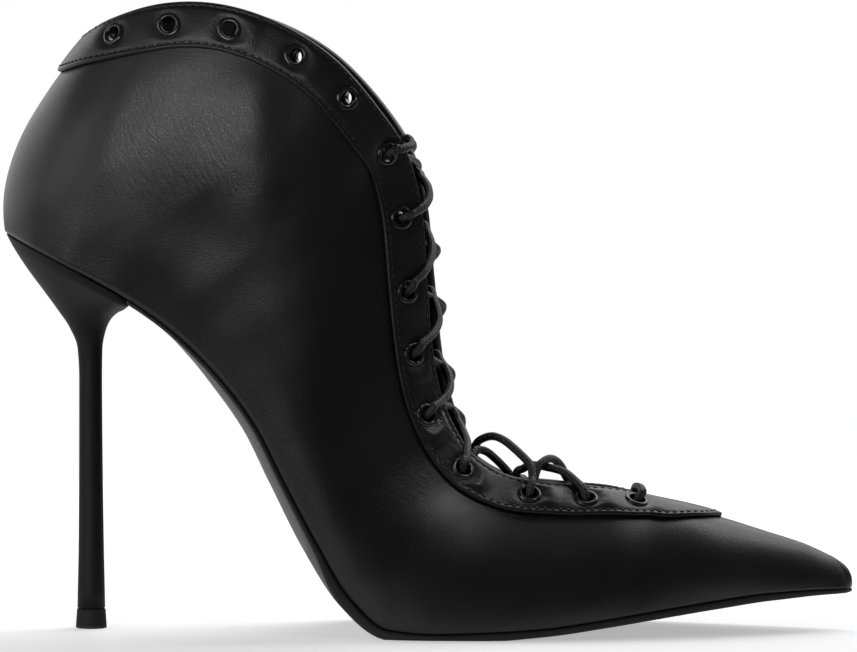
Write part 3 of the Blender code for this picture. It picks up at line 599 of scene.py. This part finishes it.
def make_upper(finish, lining):
    """Both sides of the upper as one skin with a lined wall."""
    run = rib_run(250, BAND_START, CLOSED_TO)
    low_rows, band_rows = 46, 15
    points, faces = [], []
    for side in (-1, 1):
        ribs = []
        for u in run:
            edge = float(heights(side, u, band_width(u))) if u >= BAND_START - 1e-6 else 0.94
            ribs.append(np.concatenate((np.linspace(0, edge, low_rows), np.linspace(edge, 1, band_rows)[1:])))
        v = np.array(ribs)
        u = np.repeat(run[:, None], v.shape[1], axis=1)
        at, out = skin(side, u, v), skin_normal(side, u, v)
        fade = np.clip(v / 0.12, 0, 1) * np.clip((1 - v) / 0.2, 0, 1)
        at = at + out * ((soft_unevenness(at) - crease_depth(at)) * fade)[..., None]
        faces += grid_faces(len(run), v.shape[1], len(points) * at.shape[0] * at.shape[1])
        points.append(at.reshape(-1, 3))
    upper = make_piece("upper_leather", np.concatenate(points), faces, (finish, lining),
                       ("upper",))
    outward(upper)
    open_holes(upper)
    wall = upper.modifiers.new("wall", "SOLIDIFY")
    wall.thickness = WALL * MM
    wall.offset = -1.0
    wall.use_even_offset = False
    wall.material_offset = 1
    return upper


def outward(made):
    """Turn an open skin's faces away from the middle of the boot, judged at the outer side."""
    mesh = made.data
    votes = sum(p.normal.y * (1 if p.center.y > 0 else -1) * p.area for p in mesh.polygons)
    if votes < 0:
        mesh.flip_normals()


# Section of the band at its turned lower edge and where it folds over the top line: distance and height.
BAND_LOW_EDGE = ((-1.6, 0.02), (-0.1, 0.02), (0.28, 0.25), (0.42, 0.62), (0.38, 1.0), (0.15, 1.34),
                 (-0.25, 1.5))
BAND_FOLD = ((0.30, 1.15), (0.52, 0.70), (0.60, 0.10), (0.52, -0.60), (0.22, -1.25), (-0.35, -1.70),
             (-1.1, -1.82), (-2.2, -1.78), (-2.5, -1.55), (-2.6, -1.2))
LOW_STITCH = 1.1       # row of stitches above the lower edge of the band
TOP_STITCH = 1.0       # row of stitches under the top line
GROOVE_DEEP = 0.20     # how far a row of stitches draws the leather in
GROOVE_HALF = 0.4


def pressed_round_eyelets(at, side):
    """Leather drawn in round each eyelet, swelling on one side, with faint folds running out."""
    lift = np.zeros(at.shape[:-1])
    for number, (_, _, pucker, lies) in enumerate(EYELETS, 1):
        centre, axis = PLACES[side, number]
        away = at - centre
        flat = away - (away @ axis)[..., None] * axis
        r = np.linalg.norm(flat, axis=-1)
        level = unit(np.cross(axis, (0.0, 0.0, 1.0)))
        across = np.cross(axis, level)
        turn = np.arctan2(flat @ across, flat @ level)
        lift = lift - 0.34 * np.exp(-((r - HOLE_R) / 1.5) ** 2)
        folds = np.cos(13 * turn + number) + 0.6 * np.cos(8 * turn + 2.1 * number)
        lift = lift + 0.025 * pucker * folds * np.exp(-((r - 5.4) / 1.6) ** 2)
        facing = (0.5 + 0.5 * np.cos(turn - radians(lies))) ** 2
        lift = lift + pucker * (0.10 + 0.80 * facing) * np.exp(-((r - 6.8) / 2.6) ** 2)
    return lift


def band_steps(wide):
    """Distances from the lower edge at which the face of the band has its rows of points."""
    if wide > 8:
        steps = ((0.45, 0.9, 1.3, 1.7, 2.1, 2.5, 3.0), np.linspace(3.4, wide - 2.6, 18),
                 wide - np.array((2.2, 1.9, 1.6, 1.3, 1.0, 0.7, 0.4, 0.15)))
    else:
        steps = (np.linspace(0.06, 0.4, 7) * wide, np.linspace(0.45 * wide, 0.9 * wide, 18),
                 wide * np.linspace(0.91, 0.995, 8))
    return np.concatenate(steps)


def make_band(finish):
    """Eyestay and collar band: rounded turned edge below, folded over the top line above."""
    run = np.concatenate((np.linspace(BAND_START, CLOSED_TO, 34)[:-1],
                          CLOSED_TO + (LAST - CLOSED_TO) * np.linspace(0, 1, 330) ** 1.04))
    points, faces = [], []
    for side in (-1, 1):
        rows = []
        for u in run:
            wide = band_width(u)
            thin = np.clip((wide - BAND_MIN) / 4.0, 0.0, 1.0)
            open_throat = np.clip(float(rib_value("gap", u)) / 1.5, 0.0, 1.0) if u > CLOSED_TO else 0.0
            low = np.array(BAND_LOW_EDGE) * ((0.5 + 0.5 * thin), 1.0)
            from_edge = band_steps(wide)
            inset = np.concatenate((wide + low[:, 0], wide - from_edge))
            face = np.full(len(from_edge), BAND_FACE)
            face = face - GROOVE_DEEP * thin * np.exp(-((from_edge - LOW_STITCH) / GROOVE_HALF) ** 2)
            from_top = wide - from_edge - TOP_STITCH
            face = face - GROOVE_DEEP * open_throat * np.exp(-(from_top / GROOVE_HALF) ** 2)
            face = face + 0.16 * thin * np.sin(pi * np.clip(from_edge / wide, 0, 1))
            face[-2:] = face[-2:] - open_throat * np.array((0.03, 0.14))
            rise = np.concatenate((low[:, 1], face))
            v = heights(side, u, np.maximum(inset, 0))
            at, out = skin(side, np.full_like(v, u), v), skin_normal(side, np.full_like(v, u), v)
            if u < CLOSED_TO + RIDGE_BLEND:
                other = skin_normal(-side, np.float64(u), np.float64(1.0))
                share = 0.5 * np.clip((CLOSED_TO + RIDGE_BLEND - u) / RIDGE_BLEND, 0, 1)
                share = share * np.clip(1 - inset / 4.0, 0, 1)[:, None]
                out = unit(out * (1 - share) + other * share)
            faded = np.clip((from_edge - 1.3) / 1.8, 0, 1) * np.clip((wide - from_edge - 1.3) / 1.4, 0, 1)
            rise[len(low):] += pressed_round_eyelets(at[len(low):], side) * faded
            shell = at + out * rise[:, None]
            top = top_line(side, u)
            up = unit(skin(side, u, np.float64(1.0)) - skin(side, u, np.float64(0.97)))
            fold = []
            for k, (past, high) in enumerate(BAND_FOLD):
                high = high * open_throat + (1 - open_throat) * (BAND_FACE - 0.02 * k)
                fold.append(top + up * (past * open_throat) + out[-1] * high)
            rows.append(np.concatenate((shell, np.array(fold))))
        at = np.array(rows)
        faces += grid_faces(at.shape[0], at.shape[1], len(points) * at.shape[0] * at.shape[1])
        points.append(at.reshape(-1, 3))
    band = make_piece("eyestay_band_leather", np.concatenate(points), faces, finish,
                      ("eyestay_band",))
    outward(band)
    open_holes(band)
    return band


def lathe(section, turns):
    """Points and faces of a section turned about Z."""
    angles = np.linspace(0, 2 * pi, turns, endpoint=False)
    rings = [np.stack((r * np.cos(angles), r * np.sin(angles), np.full(turns, z)), -1) for r, z in section]
    return np.concatenate(rings), grid_faces(len(section), turns, closed=True)


EYELET_TURNS = 32
PROBE = 8.0            # height from which the seat of an eyelet is felt for


def make_eyelets(band, finish):
    """All the eyelets: rolled flange outside, barrel through, turned back inside."""
    mesh = band.data
    bed = BVHTree.FromPolygons([v.co for v in mesh.vertices], [tuple(p.vertices) for p in mesh.polygons])
    points, faces, count = [], [], 0
    for centre, axis in PLACES.values():
        frame_turn = Vector(axis).to_track_quat("Z", "Y")
        down = frame_turn @ Vector((0, 0, -1.0))
        found = []
        for k in range(EYELET_TURNS):
            a = 2 * pi * k / EYELET_TURNS
            for r in (3.0, 3.6):
                above = frame_turn @ Vector((r * np.cos(a), r * np.sin(a), PROBE))
                hit = bed.ray_cast((Vector(centre - CENTRE) + above) * MM, down)
                if hit[0] is not None and hit[3] < 0.010:
                    found.append(PROBE - hit[3] / MM)
        seat = float(np.percentile(found, 80)) if found else BAND_FACE
        low, top = -WALL, seat + 0.6
        section = ((3.35, low + 0.1), (3.35, low - 0.15), (3.1, low - 0.38), (2.65, low - 0.42),
                   (2.32, low - 0.22), (2.2, low + 0.2), (2.2, top - 0.6), (2.25, top - 0.28),
                   (2.42, top - 0.06), (2.7, top + 0.04), (3.05, top + 0.02), (3.36, top - 0.12),
                   (3.58, top - 0.36), (3.66, top - 0.62), (3.62, top - 0.95))
        ring, quads = lathe(section, EYELET_TURNS)
        turned = np.array([frame_turn @ Vector(p) for p in ring])
        points.append(turned + centre)
        faces += [[i + count for i in q] for q in quads]
        count += len(ring)
    nodes = ["eyelet_%s_%02d" % (word, k) for word in ("out", "in") for k in range(1, len(EYELETS) + 1)]
    return make_piece("eyelets", np.concatenate(points), faces, finish, nodes, weld=False)


def run_length(points):
    """Distance along a line of points, at each of them."""
    return np.concatenate(((0,), np.cumsum(np.linalg.norm(np.diff(points, axis=0), axis=1))))


def evenly(points, pitch):
    """A line of points resampled at an even pitch."""
    points = np.asarray(points, dtype=float)
    run = run_length(points)
    at = np.linspace(0, run[-1], max(2, int(round(run[-1] / pitch)) + 1))
    return np.stack([np.interp(at, run, points[:, k]) for k in range(3)], axis=1)


def through(points):
    """A smooth line through a few points."""
    p = np.array(points, dtype=float)
    p = np.concatenate((2 * p[:1] - p[1:2], p, 2 * p[-1:] - p[-2:-1]))
    fine = []
    for i in range(1, len(p) - 2):
        a, b, c, d = p[i - 1], p[i], p[i + 1], p[i + 2]
        for t in np.linspace(0, 1, 16, endpoint=False):
            fine.append(0.5 * (2 * b + (c - a) * t + (2 * a - 5 * b + 4 * c - d) * t * t
                               + (3 * b - a - 3 * c + d) * t ** 3))
    fine.append(p[-2])
    return np.array(fine)


# One stitch: distance along the row, height and radius.
STITCH_SHAPE = ((-0.74, -0.30, 0.10), (-0.62, -0.04, 0.19), (-0.26, 0.10, 0.23), (0.26, 0.10, 0.23),
                (0.62, -0.04, 0.19), (0.74, -0.30, 0.10))
STITCH_PITCH = 2.35
STITCH_SIDES = 6


def on_band(side, u, inset, sunk):
    """A point just under the face of the band, and the way out of the leather there."""
    v = heights(side, u, inset)
    out = skin_normal(side, np.float64(u), np.float64(v))
    return skin(side, u, v) + out * (BAND_FACE - sunk), out


def make_stitches(finish):
    """Two rows of stitches along the band, one above its lower edge and one under the top line."""
    points, faces, count = [], [], 0
    rows = []
    for side in (-1, 1):
        low, high = [], []
        for u in np.linspace(BAND_START + 0.12, LAST, 360):
            wide = band_width(u)
            if wide > 2.4:
                low.append(on_band(side, u, wide - LOW_STITCH, 0.05))
            if u > CLOSED_TO + 0.25:
                high.append(on_band(side, u, TOP_STITCH, 0.12))
        rows += [low, high]
    for row in rows:
        at = evenly([p for p, _ in row], STITCH_PITCH)
        sparse, outs = np.array([p for p, _ in row]), np.array([n for _, n in row])
        for a, b in zip(at[:-1], at[1:]):
            middle, along = (a + b) / 2, unit(b - a)
            out = outs[np.argmin(np.sum((sparse - middle) ** 2, axis=1))]
            out = unit(out - along * np.dot(out, along))
            flat = np.cross(out, along)
            for s, h, r in STITCH_SHAPE:
                for k in range(STITCH_SIDES):
                    t = 2 * pi * k / STITCH_SIDES
                    aside = flat * r * 1.25 * np.cos(t)
                    points.append(middle + along * s + out * (h + r * np.sin(t)) + aside)
            faces += grid_faces(len(STITCH_SHAPE), STITCH_SIDES, count, closed=True)
            count += STITCH_SIDES * len(STITCH_SHAPE)
    return make_piece("band_stitches", np.array(points), faces, finish, (), weld=False)


def through_eyelet(side, number, toward, outwards):
    """Points of the lace as it passes an eyelet, leaning towards where it goes outside."""
    centre, axis = PLACES[side, number]
    lean = np.asarray(toward, dtype=float) - centre
    lean = unit(lean - axis * np.dot(lean, axis))
    line = [centre + axis * high + lean * aside for high, aside in LACE_IN_EYELET]
    return line if outwards else line[::-1]


def half_lace(side):
    """One half of the lace, from its lowest eyelet up to its end inside the collar."""
    route = []
    for number in range(13, 5, -1):
        side = -side
        guides = (LACE_OUTER if side < 0 else LACE_INNER)[number]
        route += through_eyelet(side, number, guides[0], True) + [np.array(g) for g in guides]
    return route


def make_lace(finish):
    """The whole lace as one cord: two halves crossing up the throat from the bar on the vamp."""
    bar = [np.array(g) for g in LACE_BAR]
    under = {}
    for side in (-1, 1):
        a, axis = PLACES[side, 14]
        b, other = PLACES[-side, 13]
        under[side] = [(a + b) / 2 - (axis + other) * (3.4 if side < 0 else 4.8)]
    first = through_eyelet(-1, 14, bar[0], False)[::-1]
    second = through_eyelet(1, 14, bar[-1], False)[::-1]
    route = (half_lace(-1)[::-1] + under[-1] + first[:4] + bar + second[:4][::-1] + under[1] + half_lace(1))
    line = evenly(through(route), 0.7)
    tangent = unit(np.gradient(line, axis=0))
    sides = 12
    points = []
    across = np.cross(tangent[0], (0.3, 0.2, 1.0))
    for p, t in zip(line, tangent):
        across = unit(across - t * np.dot(across, t))
        other = np.cross(t, across)
        for k in range(sides):
            a = 2 * pi * k / sides
            points.append(p + LACE_R * (np.cos(a) * across + np.sin(a) * other))
    faces = grid_faces(len(line), sides, closed=True)
    faces += [list(range(sides)), list(range((len(line) - 1) * sides, len(line) * sides))]
    nodes = ["lace_bar"] + ["lace_cross_%02d" % k for k in range(7, 14)]
    lace = make_piece("lace", points, faces, finish, nodes, weld=False)
    laid = lace.data.uv_layers.new(name="along")
    length = run_length(line)
    for polygon in lace.data.polygons:
        ring = [lace.data.loops[i].vertex_index for i in polygon.loop_indices]
        turn = [(i % sides) / sides for i in ring]
        if max(turn) - min(turn) > 0.5:
            turn = [t + 1.0 if t < 0.5 else t for t in turn]
        for loop, i, t in zip(polygon.loop_indices, ring, turn):
            laid.data[loop].uv = (t, length[i // sides])
    print("lace length %.0f mm" % length[-1])
    return lace


def profile_down(u):
    """Downward normal of the sole line seen from the side."""
    run = foot_line(-1, u + 0.05) - foot_line(-1, np.maximum(u - 0.05, 0))
    down = unit(np.stack((run[:, 2], 0 * run[:, 1], -run[:, 0]), -1))
    return np.where(down[:, 2:] > 0, -down, down)


def sole_station(x):
    u = np.linspace(15, 22, 700)
    return float(np.interp(-x, -rib_value("foot_x", u), u))


def make_outsole(finish):
    """Thin pointed sole with a plain edge and a rounded waist."""
    u = np.concatenate((np.linspace(0, 1, 16)[:-1], np.linspace(1, sole_station(BREAST_X), 170)))
    sides = []
    for side in (-1, 1):
        line = foot_line(side, u)
        line[1:] -= SOLE_INSET * plan_normal(side, u)[1:]
        line[:, 0] = rib_value("foot_x", u)
        sides.append(line - np.array((0, 0, SEAM)))
    down = profile_down(u)
    mid, rim = rib_value("sole_mid", u), rib_value("sole_rim", u)
    middle, half = (sides[0] + sides[1]) / 2, (sides[1] - sides[0]) / 2
    loop = [(s, 0.0, 0.0) for s in np.linspace(0.97, -0.97, 7)]
    loop += [(-1.0, 0.10, 0.0), (-1.0, 0.35, 0.10), (-1.0, 0.65, 0.12), (-1.0, 0.88, 0.04)]
    loop += [(s, 1.0, 0.0) for s in np.linspace(-0.985, 0.985, 27)]
    loop += [(1.0, 0.88, 0.04), (1.0, 0.65, 0.12), (1.0, 0.35, 0.10), (1.0, 0.10, 0.0)]
    rows = []
    for s, share, bulge in loop:
        thick = (rim + (mid - rim) * (1 - s * s)) * share
        at = middle + half * s + down * thick[:, None]
        if bulge:
            at = at + plan_normal(np.sign(s), u) * bulge
        at[:, 2] = np.maximum(at[:, 2], 0.0)
        at[-1, 0] = BREAST_X
        rows.append(at)
    at = np.stack(rows, axis=1)
    faces = grid_faces(at.shape[0], at.shape[1], closed=True)
    last = (at.shape[0] - 1) * at.shape[1]
    faces.append(list(range(last, last + at.shape[1])))
    return make_piece("outsole_leather", at.reshape(-1, 3), faces, finish, ("outsole",))


def make_insole(finish):
    """Insole with its sock, from the toe to the back of the heel seat."""
    u = np.concatenate((np.linspace(1.55, 20, 110), np.linspace(20, LAST - 0.32, 30)[1:]))
    sides = []
    for side in (-1, 1):
        line = foot_line(side, u)
        out = plan_normal(side, u)
        line[:, 1] -= side * INSOLE_INSET / np.maximum(np.abs(out[:, 1]), 0.35)
        sides.append(line)
    down = profile_down(u)
    middle, half = (sides[0] + sides[1]) / 2, (sides[1] - sides[0]) / 2
    loop = [(s, 1.0 + 0.22 * s ** 4 - (0.25 if abs(s) > 0.985 else 0.0)) for s in np.linspace(-1, 1, 25)]
    loop += [(1.0, 0.1), (0.5, 0.05), (0.0, 0.05), (-0.5, 0.05), (-1.0, 0.1)]
    at = np.stack([middle + half * s - down * (INSOLE_THICK * share) for s, share in loop], axis=1)
    faces = grid_faces(at.shape[0], at.shape[1], closed=True)
    for row in (0, at.shape[0] - 1):
        faces.append(list(range(row * at.shape[1], (row + 1) * at.shape[1])))
    return make_piece("insole_sock", at.reshape(-1, 3), faces, finish, ("insole",))


def make_heel(finish):
    """Covered stiletto heel through tilted rings, from the seat to the top-lift."""
    rings = table_of(HEEL_RINGS, HEEL_NAMES)
    at = np.concatenate(((0.0, 0.06, 0.16, 0.3), np.linspace(0.5, 7, 66), np.linspace(7, 10, 14)[1:]))
    ring = {name: smooth(column, at) for name, column in rings.items()}
    turns = 64
    a = 2 * pi * np.arange(turns) / turns
    front = np.cos(a) < 0
    rows = []
    for i in range(len(at)):
        back = np.array((ring["back_x"][i], 0, ring["back_z"][i]))
        toward = np.array((ring["front_x"][i], 0, ring["front_z"][i])) - back
        power = 2 / np.where(front, ring["front_square"][i], 2.0)
        reach = np.abs(np.cos(a)) ** power
        wide = np.sign(np.sin(a)) * np.abs(np.sin(a)) ** power * ring["half_wide"][i]
        widest = ring["widest"][i]
        along = np.where(front, widest + reach * (1 - widest), widest - reach * widest)
        lift = ring["crown"][i] * np.sin(pi * along)
        rows.append(back + toward * along[:, None] + np.stack((0 * wide, wide, lift), -1))
    shape = np.array(rows)
    tuck = 1 - 0.012 * np.exp(-at / 0.05)
    middle = shape.mean(axis=1, keepdims=True)
    shape = middle + (shape - middle) * tuck[:, None, None]
    seat = middle[0] + (shape[0] - middle[0]) * 0.86 + np.array((0.0, 0.0, 0.5))
    shape = np.concatenate((seat[None], shape))
    faces = grid_faces(len(shape), turns, closed=True)
    faces.append(list(range(turns)))
    faces.append(list(range((len(shape) - 1) * turns, len(shape) * turns)))
    return make_piece("heel_covered", shape.reshape(-1, 3), faces, finish, ("heel",))


def make_top_lift(finish):
    """Small wear piece under the heel."""
    section = ((0.0, 0.0), (2.4, 0.0), (4.3, 0.0), (4.62, 0.12), (4.7, 0.4), (4.55, 2.6), (4.36, 5.3),
               (4.28, 5.75), (4.05, 5.9), (2.0, 5.9), (0.0, 5.9))
    points, faces = lathe(section, 48)
    points = points + np.array((LIFT_X, 0.0, 0.0))
    return make_piece("top_lift_rubber", points, faces, finish, ("top_lift",))


def make_camera():
    """Camera at the photograph's angle: far off, looking slightly down at the outer side."""
    data = bpy.data.cameras.new("camera")
    data.lens = CAMERA_LENS
    data.sensor_width = 36.0
    data.clip_end = 100.0
    camera = bpy.data.objects.new("camera", data)
    camera.location = (np.array(CAMERA_AT) - CENTRE) * MM
    camera.rotation_mode = "QUATERNION"
    level = Quaternion((1, 0, 0), pi / 2 - atan2(CAMERA_DROP, -CAMERA_AT[1]))
    camera.rotation_quaternion = level @ Quaternion((0, 0, 1), radians(CAMERA_ROLL))
    bpy.context.scene.collection.objects.link(camera)
    bpy.context.scene.camera = camera


def soft_box(name, at, aim, size, glow, spread=180.0):
    """A rectangular studio light aimed at a point: brightness of its face, and angle of its grid."""
    data = bpy.data.lights.new(name, "AREA")
    data.shape = "RECTANGLE"
    data.size, data.size_y = size
    data.energy = glow * pi * size[0] * size[1]
    data.spread = radians(spread)
    made = bpy.data.objects.new(name, data)
    made.location = at
    made.rotation_mode = "QUATERNION"
    made.rotation_quaternion = (Vector(aim) - Vector(at)).to_track_quat("-Z", "Y")
    made.visible_camera = False
    bpy.context.scene.collection.objects.link(made)


def make_studio():
    """Pale floor, pale surround and soft lights."""
    mesh = bpy.data.meshes.new("studio_floor")
    mesh.from_pydata([(-0.7, -0.09, 0), (0.7, -0.09, 0), (0.7, 0.6, 0), (-0.7, 0.6, 0)], [], [(0, 1, 2, 3)])
    paper = Finish("studio_paper", (0.9, 0.9, 0.9), 0.9, Specular_IOR_Level=0.1, Emission_Strength=0.42)
    paper.shader.inputs["Emission Color"].default_value = (1.0, 1.0, 1.0, 1.0)
    speck = paper.noise(paper.place(), 700.0, 2.0)
    paper.feed("Base Color", paper.blend(speck, (0.89, 0.89, 0.89), (0.91, 0.91, 0.91)))
    mesh.materials.append(paper.material)
    floor = bpy.data.objects.new("studio_floor", mesh)
    bpy.context.scene.collection.objects.link(floor)
    soft_box("left_wall", (-1.25, -0.25, 0.42), (-0.08, 0.0, 0.13), (1.7, 0.7), 1.1)
    soft_box("back_left", (-0.95, 0.95, 0.40), (-0.08, 0.0, 0.13), (1.2, 0.7), 1.5)
    soft_box("back_right", (0.60, 1.3, 0.85), (0.0, 0.0, 0.12), (1.8, 0.8), 1.6)
    soft_box("right", (1.15, 0.60, 0.90), (0.03, 0.0, 0.06), (0.8, 0.6), 1.8)
    soft_box("top_back", (0.35, 0.66, 1.16), (0.03, 0.0, 0.06), (1.3, 0.44), 4.0)
    soft_box("front_left", (-0.80, -0.85, 0.22), (-0.06, 0.0, 0.12), (1.0, 0.6), 1.35)
    soft_box("near_front", (-0.080, -0.24, 0.158), (-0.075, 0.0, 0.154), (0.095, 0.065), 0.62, 40.0)
    soft_box("near_left", (-0.055, -0.115, 0.200), (0.022, -0.013, 0.052), (0.05, 0.04), 0.14, 15.0)
    soft_box("near_right", (0.100, -0.075, 0.226), (0.007, -0.014, 0.061), (0.06, 0.05), 0.18, 11.0)
    soft_box("near_heel", (-0.200, -0.250, 0.050), (-0.1015, 0.0, 0.050), (0.04, 0.12), 0.8, 20.0)
    world = bpy.data.worlds.new("studio_surround")
    world.use_nodes = True
    nodes, links = world.node_tree.nodes, world.node_tree.links
    seen = nodes.new("ShaderNodeBackground")
    seen.inputs["Color"].default_value = (1, 1, 1, 1)
    lit = nodes["Background"]
    lit.inputs["Color"].default_value = (0.09, 0.09, 0.09, 1)
    choose = nodes.new("ShaderNodeMixShader")
    path = nodes.new("ShaderNodeLightPath")
    links.new(path.outputs["Is Camera Ray"], choose.inputs[0])
    links.new(lit.outputs[0], choose.inputs[1])
    links.new(seen.outputs[0], choose.inputs[2])
    links.new(choose.outputs[0], nodes["World Output"].inputs["Surface"])
    bpy.context.scene.world = world
    bpy.context.scene.view_settings.view_transform = "Standard"


make_camera()
upper_nappa = nappa("upper_nappa", (0.0058, 0.0058, 0.0059), 0.34, 0.18, (
    ((-72.0, -27.0, 147.0), 36.0, 68.0, 4.0), ((-6.0, -26.0, 60.0), 28.0, 15.0, 4.0),
    ((-44.0, -25.0, 96.0), 34.0, 40.0, 1.5)))
band_nappa = nappa("band_nappa", (0.0060, 0.0060, 0.0061), 0.34, 0.18, (
    ((4.0, -14.0, 58.0), 22.0, 50.0, 9.0), ((36.0, -14.0, 40.0), 26.0, 90.0, 2.5),
    ((-56.0, -28.0, 178.0), 14.0, 80.0, 3.0)))
calf_lining = lining_leather("calf_lining", (0.020, 0.018, 0.017))
sock_lining = lining_leather("sock_lining", (0.024, 0.021, 0.019))
enamel_black = eyelet_enamel("enamel_black")

make_upper(upper_nappa, calf_lining)
band_piece = make_band(band_nappa)
make_eyelets(band_piece, enamel_black)
make_stitches(stitch_thread("black_thread"))
make_lace(lace_cord("braided_cord"))
make_outsole(sole_leather("blacked_sole"))
make_insole(sock_lining)
make_heel(heel_cover("covered_heel"))
make_top_lift(lift_rubber("lift_rubber"))
make_studio()

bpy.context.view_layer.update()
